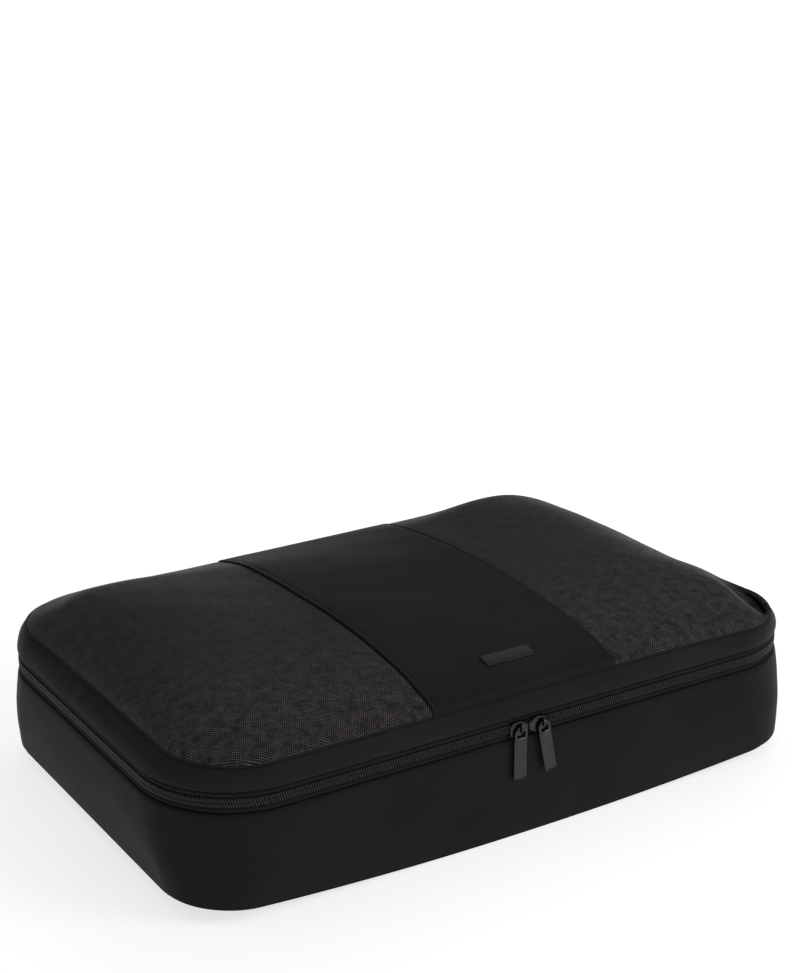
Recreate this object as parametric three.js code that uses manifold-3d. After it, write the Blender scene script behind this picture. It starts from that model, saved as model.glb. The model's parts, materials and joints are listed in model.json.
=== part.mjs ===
// Packing cube: a soft rectangular case with a domed lid that has two mesh windows.
// The base tray and the lid are joined by a fabric hinge along the back, and are closed by a
// two-way coil zip that runs round the front, the sides and the corners.
//
// Millimetres, +Z up. The origin is the middle of the footprint, on the resting plane.
// +X runs along the long front side, the front faces -Y and the fabric hinge is at +Y.

import * as THREE from 'three';
import * as BufferGeometryUtils from 'three/addons/utils/BufferGeometryUtils.js';
import Module from 'manifold-3d';

const wasm = await Module();
wasm.setup();

// ---------------------------------------------------------------- driving dimensions

const CASE_LENGTH = 432;          // along X, measured at the zip
const CASE_WIDTH = 274;           // along Y, measured at the zip
const CORNER_RADIUS = 58;         // outline corners at the zip
const CORNER_SEGMENTS = 8;        // facets in each quarter turn
const FABRIC = 2;                 // thickness that stands for cloth, lining and seams
const GAP = 0.3;                  // clearance between pieces that touch

const FOOT_INSET = 4;             // the floor is a little smaller than the zip line
const FOOT_RADIUS = 50;
const WALL_TOP = 65.7;            // height of the base wall
const WALL_BULGE = 1;             // the soft wall swells this much
const BULGE_HEIGHT = 30;          // at this height

const ZIP_HEIGHT = 72;            // middle of the zip chain
const COIL_HALF_WIDTH = 3.2;      // from the middle of the chain to the outer edge of a coil
const COIL_DEPTH = 2;
const CHAIN_SLOT = 0.5;           // half of the slot that the slider's neck runs in
const TAPE_THICKNESS = 0.8;
const TAPE_INSET = COIL_DEPTH + GAP;
const LOWER_TAPE_BOTTOM = 61;     // the lower tape is sewn behind the wall

const GUSSET_BOTTOM = 78.3;
const SEAM_HEIGHT = 92;           // the seam between the lid's gusset and its top
const SEAM_INSET_FRONT = 2.7;     // the gusset is nearly upright at the front
const SEAM_INSET_SIDE = 9.6;      // and leans in at the sides and the back
const SEAM_RADIUS = 46;
const CROWN_RISE = 16.2;          // the lid's top above its seam
const PANEL_HALF = 62;            // half of the centre panel's width

// The lid rises to its top over a reach in from each seam. A power shapes each rise.
const SIDE_RISE = { reach: 60, power: 0.92 };
const FRONT_RISE = { reach: 138, power: 0.87 };
const BACK_RISE = { reach: 189, power: 0.94 };

// Each mesh window is filled to a soft pillow towards the back.
const PILLOWS = [
	{ x: -148, y: 99, width: 63, height: 8.6 },
	{ x: 128, y: 104, width: 46, height: 10.6 },
];
const PILLOW_DEPTH = 90;          // along Y
const PILLOW_EDGE = 40;           // a pillow fades out over this distance from the seam

const BINDING_THICKNESS = 1.3;
const BINDING_WIDTH = 5.4;

const SLIDER_LENGTH = 12;
const SLIDER_HEIGHT = 9;
const PLATE = 1.2;                // thickness of the slider's two plates
const LIP = 0.8;                  // height of the lips that hold the coils
const NECK_HEIGHT = 0.4;
const NECK_LENGTH = 3;
const SLIDERS_MEET = -1.6;        // X where the two noses meet
const LEFT_CROWN = 6;             // from the nose to the loop that holds the pull
const RIGHT_CROWN = 9;

const EYE_RADIUS = 3.1;           // the pull's round eye, to the middle of its wire
const EYE_WIRE = 0.9;             // radius of that wire
const LOOP_CLEAR = 1.45;          // from the pull's pivot to the inside of the crown loop
const LOOP_BAR = 1.1;
const LOOP_WIDTH = 1.7;
const PULL_PIVOT_HEIGHT = 73.3;
const PULL_LENGTH = 31.8;         // from the pivot to the end of the tab
const TAB_WIDTH = 8.2;
const TAB_THICKNESS = 1.6;
const RIGHT_PULL_TILT = THREE.MathUtils.degToRad(11.5);

// ---------------------------------------------------------------- materials

const material = (color, roughness, metalness = 0) =>
	new THREE.MeshStandardMaterial({ color, roughness, metalness });
const wallCloth = material(0x242125, 0.75);
const lidCloth = material(0x2a282b, 0.7);
const meshCloth = material(0x323034, 0.85);
const webbing = material(0x1d1b1e, 0.85);
const coilNylon = material(0x19181a, 0.5);
const labelCloth = material(0xb9b6b2, 0.8);
const badgeMetal = material(0x3a393c, 0.45, 0.8);
const gunmetal = material(0x46464a, 0.35, 0.9);

// ---------------------------------------------------------------- outlines

// An outline is a rounded rectangle at one height. These three give the outline at the zip,
// at the floor and at the lid's seam, each drawn in by a further inset.
const rim = (inset, z) => ({
	side: inset, front: inset, back: inset, radius: CORNER_RADIUS - inset, z,
});
const foot = (inset, z) => ({
	side: FOOT_INSET + inset, front: FOOT_INSET + inset, back: FOOT_INSET + inset,
	radius: FOOT_RADIUS - inset, z,
});
const seam = (inset, z) => ({
	side: SEAM_INSET_SIDE + inset, front: SEAM_INSET_FRONT + inset,
	back: SEAM_INSET_SIDE + inset, radius: SEAM_RADIUS - inset, z,
});

// The four corners in the order front left, front right, back right, back left, each with the
// angle at which its quarter turn starts when the outline is walked with the case on the left.
const CORNERS = [
	{ x: -1, y: -1, start: Math.PI },
	{ x: 1, y: -1, start: 1.5 * Math.PI },
	{ x: 1, y: 1, start: 0 },
	{ x: -1, y: 1, start: 0.5 * Math.PI },
];

// The points of one corner's quarter turn.
function cornerPoints(outline, corner) {
	const centreX = corner.x * (CASE_LENGTH / 2 - outline.side - outline.radius);
	const sideInset = corner.y < 0 ? outline.front : outline.back;
	const centreY = corner.y * (CASE_WIDTH / 2 - sideInset - outline.radius);
	const points = [];
	for (let step = 0; step <= CORNER_SEGMENTS; step++) {
		const angle = corner.start + (step / CORNER_SEGMENTS) * Math.PI / 2;
		points.push(new THREE.Vector3(
			centreX + outline.radius * Math.cos(angle),
			centreY + outline.radius * Math.sin(angle),
			outline.z));
	}
	return points;
}

// The points of a stretch of outline: the named corners and what lies between them.
const cornerRun = (...corners) => (outline) =>
	corners.flatMap((index) => cornerPoints(outline, CORNERS[index]));

// The straight stretch between two corners, a gap short of each.
const straightRun = (from, to) => (outline) => {
	const start = cornerPoints(outline, CORNERS[from]).at(-1);
	const end = cornerPoints(outline, CORNERS[to])[0];
	const along = end.clone().sub(start).normalize().multiplyScalar(GAP);
	return [start.add(along), end.sub(along)];
};

const frontRun = cornerRun(0, 1);
const rightRun = straightRun(1, 2);
const backRun = cornerRun(2, 3);
const leftRun = straightRun(3, 0);
const zipRun = cornerRun(3, 0, 1, 2);
const wholeRun = cornerRun(0, 1, 2, 3);

// ---------------------------------------------------------------- solids

// A solid lofted through sections. Each section is a list of points: the outer chain, and then
// the inner chain walked back, with as many points. A closed loft joins its last section to
// its first, and an open one is capped at both ends.
function loft(sections, closed) {
	const size = sections[0].length;
	const positions = sections.flat().flatMap((point) => [point.x, point.y, point.z]);
	const triangles = [];
	const quad = (a, b, c, d) => triangles.push(a, b, c, a, c, d);
	const last = closed ? sections.length : sections.length - 1;
	for (let s = 0; s < last; s++) {
		const here = s * size;
		const next = ((s + 1) % sections.length) * size;
		for (let k = 0; k < size; k++) {
			const after = (k + 1) % size;
			quad(here + k, here + after, next + after, next + k);
		}
	}
	if (!closed) {
		const end = (sections.length - 1) * size;
		for (let k = 0; k < size / 2 - 1; k++) {
			const inner = size - 1 - k;
			quad(k, inner, inner - 1, k + 1);
			quad(end + k, end + k + 1, end + inner - 1, end + inner);
		}
	}
	const geometry = new THREE.BufferGeometry();
	geometry.setAttribute('position', new THREE.Float32BufferAttribute(positions, 3));
	geometry.setIndex(signedVolume(positions, triangles) < 0 ? triangles.reverse() : triangles);
	geometry.computeVertexNormals();
	return geometry;
}

// Positive when the triangles face outwards.
function signedVolume(positions, triangles) {
	const corner = (index) => new THREE.Vector3().fromArray(positions, 3 * index);
	let volume = 0;
	for (let t = 0; t < triangles.length; t += 3) {
		const cross = corner(triangles[t + 1]).cross(corner(triangles[t + 2]));
		volume += corner(triangles[t]).dot(cross) / 6;
	}
	return volume;
}

// A strip of cloth along a run. `outer` and `inner` are outlines from its bottom to its top.
function strip(run, outer, inner) {
	const chains = [...outer, ...inner.toReversed()].map(run);
	const sections = chains[0].map((_, station) => chains.map((chain) => chain[station]));
	return loft(sections, run === wholeRun);
}

// A flat plate with the given outline, from z to z + thickness.
function plate(outline, thickness) {
	const shape = new THREE.Shape(wholeRun(outline).map((p) => new THREE.Vector2(p.x, p.y)));
	const geometry = new THREE.ExtrudeGeometry(shape, { depth: thickness, bevelEnabled: false });
	return geometry.translate(0, 0, outline.z);
}

// three.js geometry to manifold-3d and back, for unions.
function toManifold(geometry) {
	const bare = geometry.index ? geometry.clone() : geometry;
	bare.deleteAttribute('normal');
	bare.deleteAttribute('uv');
	const merged = BufferGeometryUtils.mergeVertices(bare, 1e-5);
	return new wasm.Manifold(new wasm.Mesh({
		numProp: 3,
		vertProperties: new Float32Array(merged.attributes.position.array),
		triVerts: new Uint32Array(merged.index.array),
	}));
}

function union(geometries) {
	const solid = geometries.map(toManifold).reduce((whole, part) => whole.add(part));
	const mesh = solid.getMesh();
	const geometry = new THREE.BufferGeometry();
	geometry.setAttribute('position', new THREE.BufferAttribute(mesh.vertProperties, 3));
	geometry.setIndex(new THREE.BufferAttribute(mesh.triVerts, 1));
	geometry.computeVertexNormals();
	return geometry;
}

// The mirror image of a geometry across the YZ plane, with its faces still outwards.
function mirrored(geometry) {
	const copy = geometry.clone().scale(-1, 1, 1);
	const index = copy.index.array;
	for (let t = 0; t < index.length; t += 3) {
		[index[t], index[t + 1]] = [index[t + 1], index[t]];
	}
	copy.computeVertexNormals();
	return copy;
}

// A box between two corners.
function box(low, high) {
	const size = high.map((value, axis) => value - low[axis]);
	const centre = high.map((value, axis) => (value + low[axis]) / 2);
	return new THREE.BoxGeometry(...size).translate(...centre);
}

// ---------------------------------------------------------------- the lid's domed top

const SEAM_HALF_LENGTH = CASE_LENGTH / 2 - SEAM_INSET_SIDE;
const SEAM_FRONT = -CASE_WIDTH / 2 + SEAM_INSET_FRONT;
const SEAM_BACK = CASE_WIDTH / 2 - SEAM_INSET_SIDE;

// How far the lid has risen at a distance in from one seam: 0 at the seam, 1 in the middle.
function rise(distance, { reach, power }) {
	const left = 1 - Math.min(distance, reach) / reach;
	return (1 - left ** 3) ** power;
}

// The extra height of the pillows, at a point this far in from the seam.
function pillowHeight(x, y, inside) {
	const fade = THREE.MathUtils.smoothstep(inside, 0, PILLOW_EDGE);
	return PILLOWS.reduce((sum, pillow) => sum + fade * pillow.height * Math.exp(
		-(((x - pillow.x) / pillow.width) ** 2) - ((y - pillow.y) / PILLOW_DEPTH) ** 2), 0);
}

// The distance in from the seam's rounded outline, where both straight sides are this near.
function cornerDistance(alongX, alongY) {
	const x = Math.max(0, SEAM_RADIUS - alongX);
	const y = Math.max(0, SEAM_RADIUS - alongY);
	return x > 0 && y > 0 ? SEAM_RADIUS - Math.hypot(x, y) : Math.min(alongX, alongY);
}

// Height of the underside of the lid's top. It rises from each of the four sides, quickly from
// the two ends, and the quotient brings it down to the seam all the way round the corners.
function lidUnderside(x, y) {
	const alongX = SEAM_HALF_LENGTH - Math.abs(x);
	const alongY = Math.min(y - SEAM_FRONT, SEAM_BACK - y);
	const base = SEAM_HEIGHT + GAP;
	if (alongX < 1e-6 || alongY < 1e-6) return base;
	const nearest = (alongX ** -4 + alongY ** -4) ** -0.25;
	const inside = cornerDistance(alongX, alongY);
	const corner = Math.max(0, Math.min(1, inside / nearest));
	const along = Math.min(rise(y - SEAM_FRONT, FRONT_RISE), rise(SEAM_BACK - y, BACK_RISE));
	return base + CROWN_RISE * rise(alongX, SIDE_RISE) * along * corner
		+ pillowHeight(x, y, inside);
}

// Rows of the lid, from the front seam to the back one: close together round the corners.
const LID_ROWS = (() => {
	const rows = [];
	const turn = (step) => 1 - Math.cos((step / CORNER_SEGMENTS) * Math.PI / 2);
	for (let step = 0; step <= CORNER_SEGMENTS; step++) {
		rows.push(SEAM_FRONT + SEAM_RADIUS * turn(step));
	}
	const straight = SEAM_BACK - SEAM_FRONT - 2 * SEAM_RADIUS;
	const straightSteps = 8;
	for (let step = 1; step < straightSteps; step++) {
		rows.push(SEAM_FRONT + SEAM_RADIUS + straight * step / straightSteps);
	}
	for (let step = CORNER_SEGMENTS; step >= 0; step--) {
		rows.push(SEAM_BACK - SEAM_RADIUS * turn(step));
	}
	return rows;
})();

// The half-length of the seam's outline at one row.
function seamHalfLengthAt(y) {
	const alongY = Math.min(y - SEAM_FRONT, SEAM_BACK - y);
	const into = Math.max(0, SEAM_RADIUS - alongY);
	return SEAM_HALF_LENGTH - SEAM_RADIUS + Math.sqrt(Math.max(0, SEAM_RADIUS ** 2 - into ** 2));
}

// A panel of the lid. `span` gives its two X limits at a row, `shares` says how far across
// each column stands, `drop` lowers it, and `thickness` is its thickness.
function lidPanel(rows, span, shares, drop, thickness) {
	const sections = rows.map((y) => {
		const [from, to] = span(y);
		const lower = [];
		const upper = [];
		for (const share of shares) {
			const x = from + (to - from) * share;
			const z = lidUnderside(x, y) - drop;
			lower.push(new THREE.Vector3(x, y, z));
			upper.push(new THREE.Vector3(x, y, z + thickness));
		}
		return [...upper, ...lower.reverse()];
	});
	return loft(sections, false);
}

// ---------------------------------------------------------------- the zip's hardware

const FRONT = -CASE_WIDTH / 2;
const PLATE_BACK_Y = FRONT - GAP;               // inner face of the slider's front plate
const REAR_PLATE_Y = FRONT + TAPE_INSET + TAPE_THICKNESS + GAP;
const PULL_Y = PLATE_BACK_Y - PLATE - LOOP_CLEAR;

// One slider, with its nose at x = 0 and its tail at x = -SLIDER_LENGTH, at the zip's place
// across the case. `crown` is the distance from the nose to the loop for the pull.
function sliderGeometry(crown) {
	const half = SLIDER_HEIGHT / 2;
	const outline = new THREE.Shape([
		[-SLIDER_LENGTH, -0.68 * half], [-SLIDER_LENGTH + 1.2, -half], [-4.2, -half],
		[0, -0.45 * half], [0, 0.45 * half], [-4.2, half],
		[-SLIDER_LENGTH + 1.2, half], [-SLIDER_LENGTH, 0.68 * half],
	].map(([x, z]) => new THREE.Vector2(x, z)));
	const bevel = 0.4;
	const front = new THREE.ExtrudeGeometry(outline, {
		depth: PLATE - bevel, bevelEnabled: true, bevelSegments: 1,
		bevelThickness: bevel, bevelSize: bevel, bevelOffset: -bevel,
	});
	// The bevel adds to both faces, so the inner one is cut back by the plate's own thickness.
	front.rotateX(Math.PI / 2).scale(1, PLATE / (PLATE + bevel), 1);
	front.computeBoundingBox();
	front.translate(0, PLATE_BACK_Y - front.boundingBox.max.y, ZIP_HEIGHT);
	const rear = new THREE.ExtrudeGeometry(outline, { depth: PLATE, bevelEnabled: false });
	rear.rotateX(Math.PI / 2).translate(0, REAR_PLATE_Y + PLATE, ZIP_HEIGHT);

	const lips = [];
	const lipFrom = -SLIDER_LENGTH + 1.6;
	const lipTo = -4.4;
	const overlap = 0.3;
	for (const side of [-1, 1]) {
		const edges = [ZIP_HEIGHT + side * (half - 0.1), ZIP_HEIGHT + side * (half - LIP)];
		const low = Math.min(...edges);
		const high = Math.max(...edges);
		lips.push(box(
			[lipFrom, PLATE_BACK_Y - overlap, low],
			[lipTo, FRONT + TAPE_INSET - GAP, high]));
	}
	const neck = box(
		[-NECK_LENGTH - 0.5, PLATE_BACK_Y - overlap, ZIP_HEIGHT - NECK_HEIGHT / 2],
		[-0.5, REAR_PLATE_Y + overlap, ZIP_HEIGHT + NECK_HEIGHT / 2]);

	const outerY = PULL_Y - LOOP_CLEAR - LOOP_BAR;
	const loopX = [-crown - LOOP_WIDTH / 2, -crown + LOOP_WIDTH / 2];
	const reach = LOOP_CLEAR + LOOP_BAR;
	const footY = PLATE_BACK_Y - PLATE / 2;
	const pivotZ = PULL_PIVOT_HEIGHT;
	const crownLoop = [
		box([loopX[0], outerY, pivotZ - reach], [loopX[1], footY, pivotZ - LOOP_CLEAR]),
		box([loopX[0], outerY, pivotZ + LOOP_CLEAR], [loopX[1], footY, pivotZ + reach]),
		box([loopX[0], outerY, pivotZ - reach], [loopX[1], outerY + LOOP_BAR, pivotZ + reach]),
	];
	return union([front, rear, neck, ...lips, ...crownLoop]);
}

// One pull: a round eye of wire and a flat tab, hanging from its pivot at the origin.
function pullGeometry() {
	const eye = new THREE.TorusGeometry(EYE_RADIUS, EYE_WIRE, 8, 24);
	eye.rotateX(Math.PI / 2).translate(0, 0, -EYE_RADIUS);
	const half = TAB_WIDTH / 2;
	const top = -2 * EYE_RADIUS - 0.1;
	const shoulder = 1.6;
	const outline = new THREE.Shape([
		[-half + shoulder, top], [-half, top - shoulder], [-half, -PULL_LENGTH + 1],
		[-half + 1, -PULL_LENGTH], [half - 1, -PULL_LENGTH], [half, -PULL_LENGTH + 1],
		[half, top - shoulder], [half - shoulder, top],
	].map(([x, z]) => new THREE.Vector2(x, z)));
	const bevel = 0.3;
	const tab = new THREE.ExtrudeGeometry(outline, {
		depth: TAB_THICKNESS - 2 * bevel, bevelEnabled: true, bevelSegments: 1,
		bevelThickness: bevel, bevelSize: bevel, bevelOffset: -bevel,
	});
	tab.rotateX(Math.PI / 2).translate(0, TAB_THICKNESS / 2 - bevel, 0);
	return union([eye, tab]);
}

// ---------------------------------------------------------------- assembly

const packingCube = new THREE.Group();

function add(name, geometry, finish) {
	const mesh = new THREE.Mesh(geometry, finish);
	mesh.name = name;
	packingCube.add(mesh);
	return mesh;
}

// The floor of the case, and the wall above it in four lengths.
add('bottom_panel', plate(foot(0, 0), FABRIC), wallCloth);
const wallOuter = [foot(0, FABRIC + GAP), rim(-WALL_BULGE, BULGE_HEIGHT), rim(0, WALL_TOP)];
const wallInner = [
	foot(FABRIC, FABRIC + GAP), rim(FABRIC - WALL_BULGE, BULGE_HEIGHT), rim(FABRIC, WALL_TOP),
];
add('front_wall', strip(frontRun, wallOuter, wallInner), wallCloth);
add('right_wall', strip(rightRun, wallOuter, wallInner), wallCloth);
add('back_wall', strip(backRun, wallOuter, wallInner), wallCloth);
add('left_wall', strip(leftRun, wallOuter, wallInner), wallCloth);

// The tape that binds the raw edges of the bottom seam, inside the case.
const bindingInset = FABRIC + GAP;
const bindingFoot = FABRIC + 2 * GAP;
add('base_seam_binding', strip(wholeRun,
	[foot(bindingInset, bindingFoot), foot(bindingInset, bindingFoot + BINDING_WIDTH)],
	[foot(bindingInset + BINDING_THICKNESS, bindingFoot),
		foot(bindingInset + BINDING_THICKNESS, bindingFoot + BINDING_WIDTH)]), webbing);

// The two halves of the zip. Each is a tape with a coil along its edge.
function tape(name, low, high) {
	add(name, strip(zipRun,
		[rim(TAPE_INSET, low), rim(TAPE_INSET, high)],
		[rim(TAPE_INSET + TAPE_THICKNESS, low), rim(TAPE_INSET + TAPE_THICKNESS, high)]), webbing);
}
function coil(name, low, high) {
	add(name, strip(zipRun,
		[rim(0, low), rim(0, high)], [rim(COIL_DEPTH, low), rim(COIL_DEPTH, high)]), coilNylon);
}
tape('lower_zip_tape', LOWER_TAPE_BOTTOM, ZIP_HEIGHT - CHAIN_SLOT);
coil('lower_zip_coil', ZIP_HEIGHT - COIL_HALF_WIDTH, ZIP_HEIGHT - CHAIN_SLOT);
tape('upper_zip_tape', ZIP_HEIGHT + CHAIN_SLOT, GUSSET_BOTTOM - GAP);
coil('upper_zip_coil', ZIP_HEIGHT + CHAIN_SLOT, ZIP_HEIGHT + COIL_HALF_WIDTH);

// The strip of cloth that is the hinge, and the tabs over the two ends of the zip beside it.
const BACK = CASE_WIDTH / 2;
const hingeHalf = CASE_LENGTH / 2 - CORNER_RADIUS - GAP;
add('hinge_strip', box(
	[-hingeHalf, BACK - FABRIC, WALL_TOP + GAP],
	[hingeHalf, BACK, GUSSET_BOTTOM - GAP]), wallCloth);
const tabHalf = 5;
const tabThickness = 0.9;
for (const [name, side] of [['left_zip_end_tab', -1], ['right_zip_end_tab', 1]]) {
	const x = side * (hingeHalf - tabHalf + 3);
	add(name, box(
		[x - tabHalf, BACK + GAP, WALL_TOP - 4],
		[x + tabHalf, BACK + GAP + tabThickness, ZIP_HEIGHT - CHAIN_SLOT]), webbing);
}

// A blank care label, sewn inside the back wall.
const labelX = -105;
const labelHalf = 15;
const labelY = BACK - FABRIC - 2 * GAP;
add('care_label', box(
	[labelX - labelHalf, labelY - 0.7, WALL_TOP - 25], [labelX + labelHalf, labelY, WALL_TOP - 3],
), labelCloth);

// The lid's gusset, in the same four lengths as the wall.
const gussetOuter = [rim(0, GUSSET_BOTTOM), seam(0, SEAM_HEIGHT)];
const gussetInner = [rim(FABRIC, GUSSET_BOTTOM), seam(FABRIC, SEAM_HEIGHT)];
add('lid_gusset_front', strip(frontRun, gussetOuter, gussetInner), lidCloth);
add('lid_gusset_right', strip(rightRun, gussetOuter, gussetInner), lidCloth);
add('lid_gusset_back', strip(backRun, gussetOuter, gussetInner), lidCloth);
add('lid_gusset_left', strip(leftRun, gussetOuter, gussetInner), lidCloth);

// The lid's top: a closed centre panel between two mesh windows.
const edge = PANEL_HALF - GAP / 2;
const meshEdge = PANEL_HALF + GAP / 2;
const evenShares = (columns) => Array.from({ length: columns + 1 }, (_, k) => k / columns);
const outwardShares = evenShares(12).map((share) => Math.sin(share * Math.PI / 2));
const inwardShares = outwardShares.map((share) => 1 - share).reverse();
add('lid_center_panel', lidPanel(
	LID_ROWS, () => [-edge, edge], evenShares(6), 0, FABRIC), lidCloth);
add('lid_left_mesh', lidPanel(
	LID_ROWS, (y) => [-seamHalfLengthAt(y), -meshEdge], inwardShares, 0, FABRIC), meshCloth);
add('lid_right_mesh', lidPanel(
	LID_ROWS, (y) => [meshEdge, seamHalfLengthAt(y)], outwardShares, 0, FABRIC), meshCloth);

// Tapes inside the lid: one round the seam and one under each seam of the centre panel.
add('lid_seam_binding', strip(wholeRun,
	[seam(bindingInset, SEAM_HEIGHT - BINDING_WIDTH), seam(bindingInset, SEAM_HEIGHT - GAP)],
	[seam(bindingInset + BINDING_THICKNESS, SEAM_HEIGHT - BINDING_WIDTH),
		seam(bindingInset + BINDING_THICKNESS, SEAM_HEIGHT - GAP)]), webbing);
const tapeRows = LID_ROWS.filter((y) => y > SEAM_FRONT + 5 && y < SEAM_BACK - 5);
const tapeHalf = 4;
const tapeThickness = 0.9;
for (const [name, x] of [['left_seam_tape', -PANEL_HALF], ['right_seam_tape', PANEL_HALF]]) {
	const span = () => [x - tapeHalf, x + tapeHalf];
	add(name, lidPanel(
		tapeRows, span, evenShares(2), 2 * GAP + tapeThickness, tapeThickness), webbing);
}

// A blank badge on the front of the centre panel, lying along the slope of the lid.
const badge = { x: 3, y: -110, length: 34, width: 9, thickness: 1.2 };
const slopeReach = 6;
const slope = Math.atan2(
	lidUnderside(0, badge.y + slopeReach) - lidUnderside(0, badge.y - slopeReach), 2 * slopeReach);
const badgeShape = new THREE.Shape([
	[-badge.length / 2, -badge.width / 2], [badge.length / 2, -badge.width / 2],
	[badge.length / 2, badge.width / 2], [-badge.length / 2, badge.width / 2],
].map(([x, y]) => new THREE.Vector2(x, y)));
const badgeMesh = add('badge', new THREE.ExtrudeGeometry(badgeShape, {
	depth: badge.thickness, bevelEnabled: false,
}), badgeMetal);
badgeMesh.position.set(badge.x, badge.y, lidUnderside(0, badge.y) + FABRIC + 2 * GAP);
badgeMesh.rotation.x = slope;

// The two sliders, nose to nose, and their pulls. The right one hangs aslant.
const noseGap = GAP / 2;
const left = add('left_slider', sliderGeometry(LEFT_CROWN), gunmetal);
left.position.x = SLIDERS_MEET - noseGap;
const right = add('right_slider', sliderGeometry(RIGHT_CROWN), gunmetal);
right.geometry = mirrored(right.geometry);
right.position.x = SLIDERS_MEET + noseGap;

const leftPull = add('left_pull', pullGeometry(), gunmetal);
leftPull.position.set(left.position.x - LEFT_CROWN, PULL_Y, PULL_PIVOT_HEIGHT);
const rightPull = add('right_pull', pullGeometry(), gunmetal);
rightPull.position.set(right.position.x + RIGHT_CROWN, PULL_Y, PULL_PIVOT_HEIGHT);
rightPull.rotation.y = -RIGHT_PULL_TILT;

export default packingCube;
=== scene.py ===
"""Packing cube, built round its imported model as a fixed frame.

The soft tray, the domed lid with its two mesh windows, the coil zip and its hardware are
surfaces worked out with numpy. Every size starts from the frame's own boxes.
"""

import json
import math
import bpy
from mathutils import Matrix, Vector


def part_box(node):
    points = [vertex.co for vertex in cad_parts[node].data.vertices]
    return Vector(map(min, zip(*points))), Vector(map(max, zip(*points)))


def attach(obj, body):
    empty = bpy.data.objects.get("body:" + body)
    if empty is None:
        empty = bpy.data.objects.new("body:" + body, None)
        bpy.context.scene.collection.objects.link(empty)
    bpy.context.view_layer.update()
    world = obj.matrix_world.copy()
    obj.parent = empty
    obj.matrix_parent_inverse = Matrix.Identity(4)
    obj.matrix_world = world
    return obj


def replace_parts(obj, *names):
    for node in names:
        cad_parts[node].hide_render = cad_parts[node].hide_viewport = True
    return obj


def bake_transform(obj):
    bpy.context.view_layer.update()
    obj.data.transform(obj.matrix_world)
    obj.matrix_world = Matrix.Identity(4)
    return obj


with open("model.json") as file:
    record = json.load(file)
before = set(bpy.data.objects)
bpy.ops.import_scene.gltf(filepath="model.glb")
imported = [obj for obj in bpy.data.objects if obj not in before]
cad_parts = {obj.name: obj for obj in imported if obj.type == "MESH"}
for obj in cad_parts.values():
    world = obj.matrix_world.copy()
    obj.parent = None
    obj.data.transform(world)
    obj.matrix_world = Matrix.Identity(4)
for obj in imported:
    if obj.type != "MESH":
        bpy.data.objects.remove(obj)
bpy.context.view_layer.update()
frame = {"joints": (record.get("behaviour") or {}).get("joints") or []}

from types import SimpleNamespace

import bmesh
import bpy
import numpy as np
from bpy.props import FloatProperty, FloatVectorProperty, IntProperty, PointerProperty
from mathutils import Vector

bl_info = {
    "name": "Packing Cube",
    "version": (1, 0, 0),
    "blender": (4, 5, 0),
    "location": "3D Viewport > Sidebar > Packing Cube",
    "description": "Builds a zipped packing cube with a domed mesh lid",
    "category": "Add Mesh",
}

# ------------------------------------------------------------------ sizes from the frame

MM = 0.001

COIL_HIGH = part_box("lower_zip_coil")[1]
UPPER_COIL_LOW, UPPER_COIL_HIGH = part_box("upper_zip_coil")
HALF_LENGTH = COIL_HIGH.x                   # of the case, at the zip
HALF_WIDTH = COIL_HIGH.y
ZIP_HEIGHT = (COIL_HIGH.z + UPPER_COIL_LOW.z) / 2
COIL_EDGE = UPPER_COIL_HIGH.z - ZIP_HEIGHT  # from the middle of the chain to a coil's edge

HINGE_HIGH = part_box("hinge_strip")[1]
CORNER_RADIUS = HALF_LENGTH - HINGE_HIGH.x - 0.3 * MM
FLOOR_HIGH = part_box("bottom_panel")[1]
FOOT_INSET = HALF_LENGTH - FLOOR_HIGH.x
FOOT_RADIUS = CORNER_RADIUS - 18 * MM       # the foot's corners are tighter than the zip's
FOOT_TURN = 1.3 * MM                        # height at which the floor meets the wall
WALL_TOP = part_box("front_wall")[1].z
TAPE_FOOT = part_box("lower_zip_tape")[0].z

GUSSET_LOW, GUSSET_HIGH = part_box("lid_gusset_front")
LEFT_LOW, LEFT_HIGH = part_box("lid_left_mesh")
SEAM_HEIGHT = LEFT_LOW.z
SEAM_HALF = -LEFT_LOW.x                     # half-length of the lid's seam
SEAM_FRONT = LEFT_LOW.y
SEAM_BACK = LEFT_HIGH.y
SEAM_RADIUS = 46 * MM
PANEL_HALF = -LEFT_HIGH.x                   # half-width of the centre panel
CROWN_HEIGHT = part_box("lid_center_panel")[1].z
PANEL_LIP = 0.9 * MM                        # how far the centre panel stands above the mesh

JOINTS = {joint["name"]: joint for joint in frame["joints"]}
LEFT_PIVOT = Vector(JOINTS["left_pull_swing"]["pos_m"])
RIGHT_PIVOT = Vector(JOINTS["right_pull_swing"]["pos_m"])
PULL_DROP = LEFT_PIVOT.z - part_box("left_pull")[0].z

# The stage, in metres: where the camera aims, and the size and the place of each light.
CAMERA_TARGET = Vector((0.0290, 0.0477, 0.1532))
OVERHEAD_SIZE, OVERHEAD_PLACE = (1.2, 1.1), (0.95, 0.85, 1.4)
SIDE_SIZE, SIDE_PLACE = (0.7, 0.7), (0.85, -1.1, 0.85)

ACROSS, DEEP, UP = np.eye(3)                # unit directions along X, Y and Z


# ------------------------------------------------------------------ colours and settings

def linear(code):
    """An sRGB hex value such as "#1f1c1f" as three linear numbers."""
    parts = [int(code[k:k + 2], 16) / 255 for k in (1, 3, 5)]
    return tuple(c / 12.92 if c <= 0.04045 else ((c + 0.055) / 1.055) ** 2.4 for c in parts)


def colour(name, code, description):
    """A colour property whose default is an sRGB hex value."""
    return FloatVectorProperty(
        name=name, description=description, subtype="COLOR", size=3, min=0, max=1,
        default=linear(code))


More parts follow.
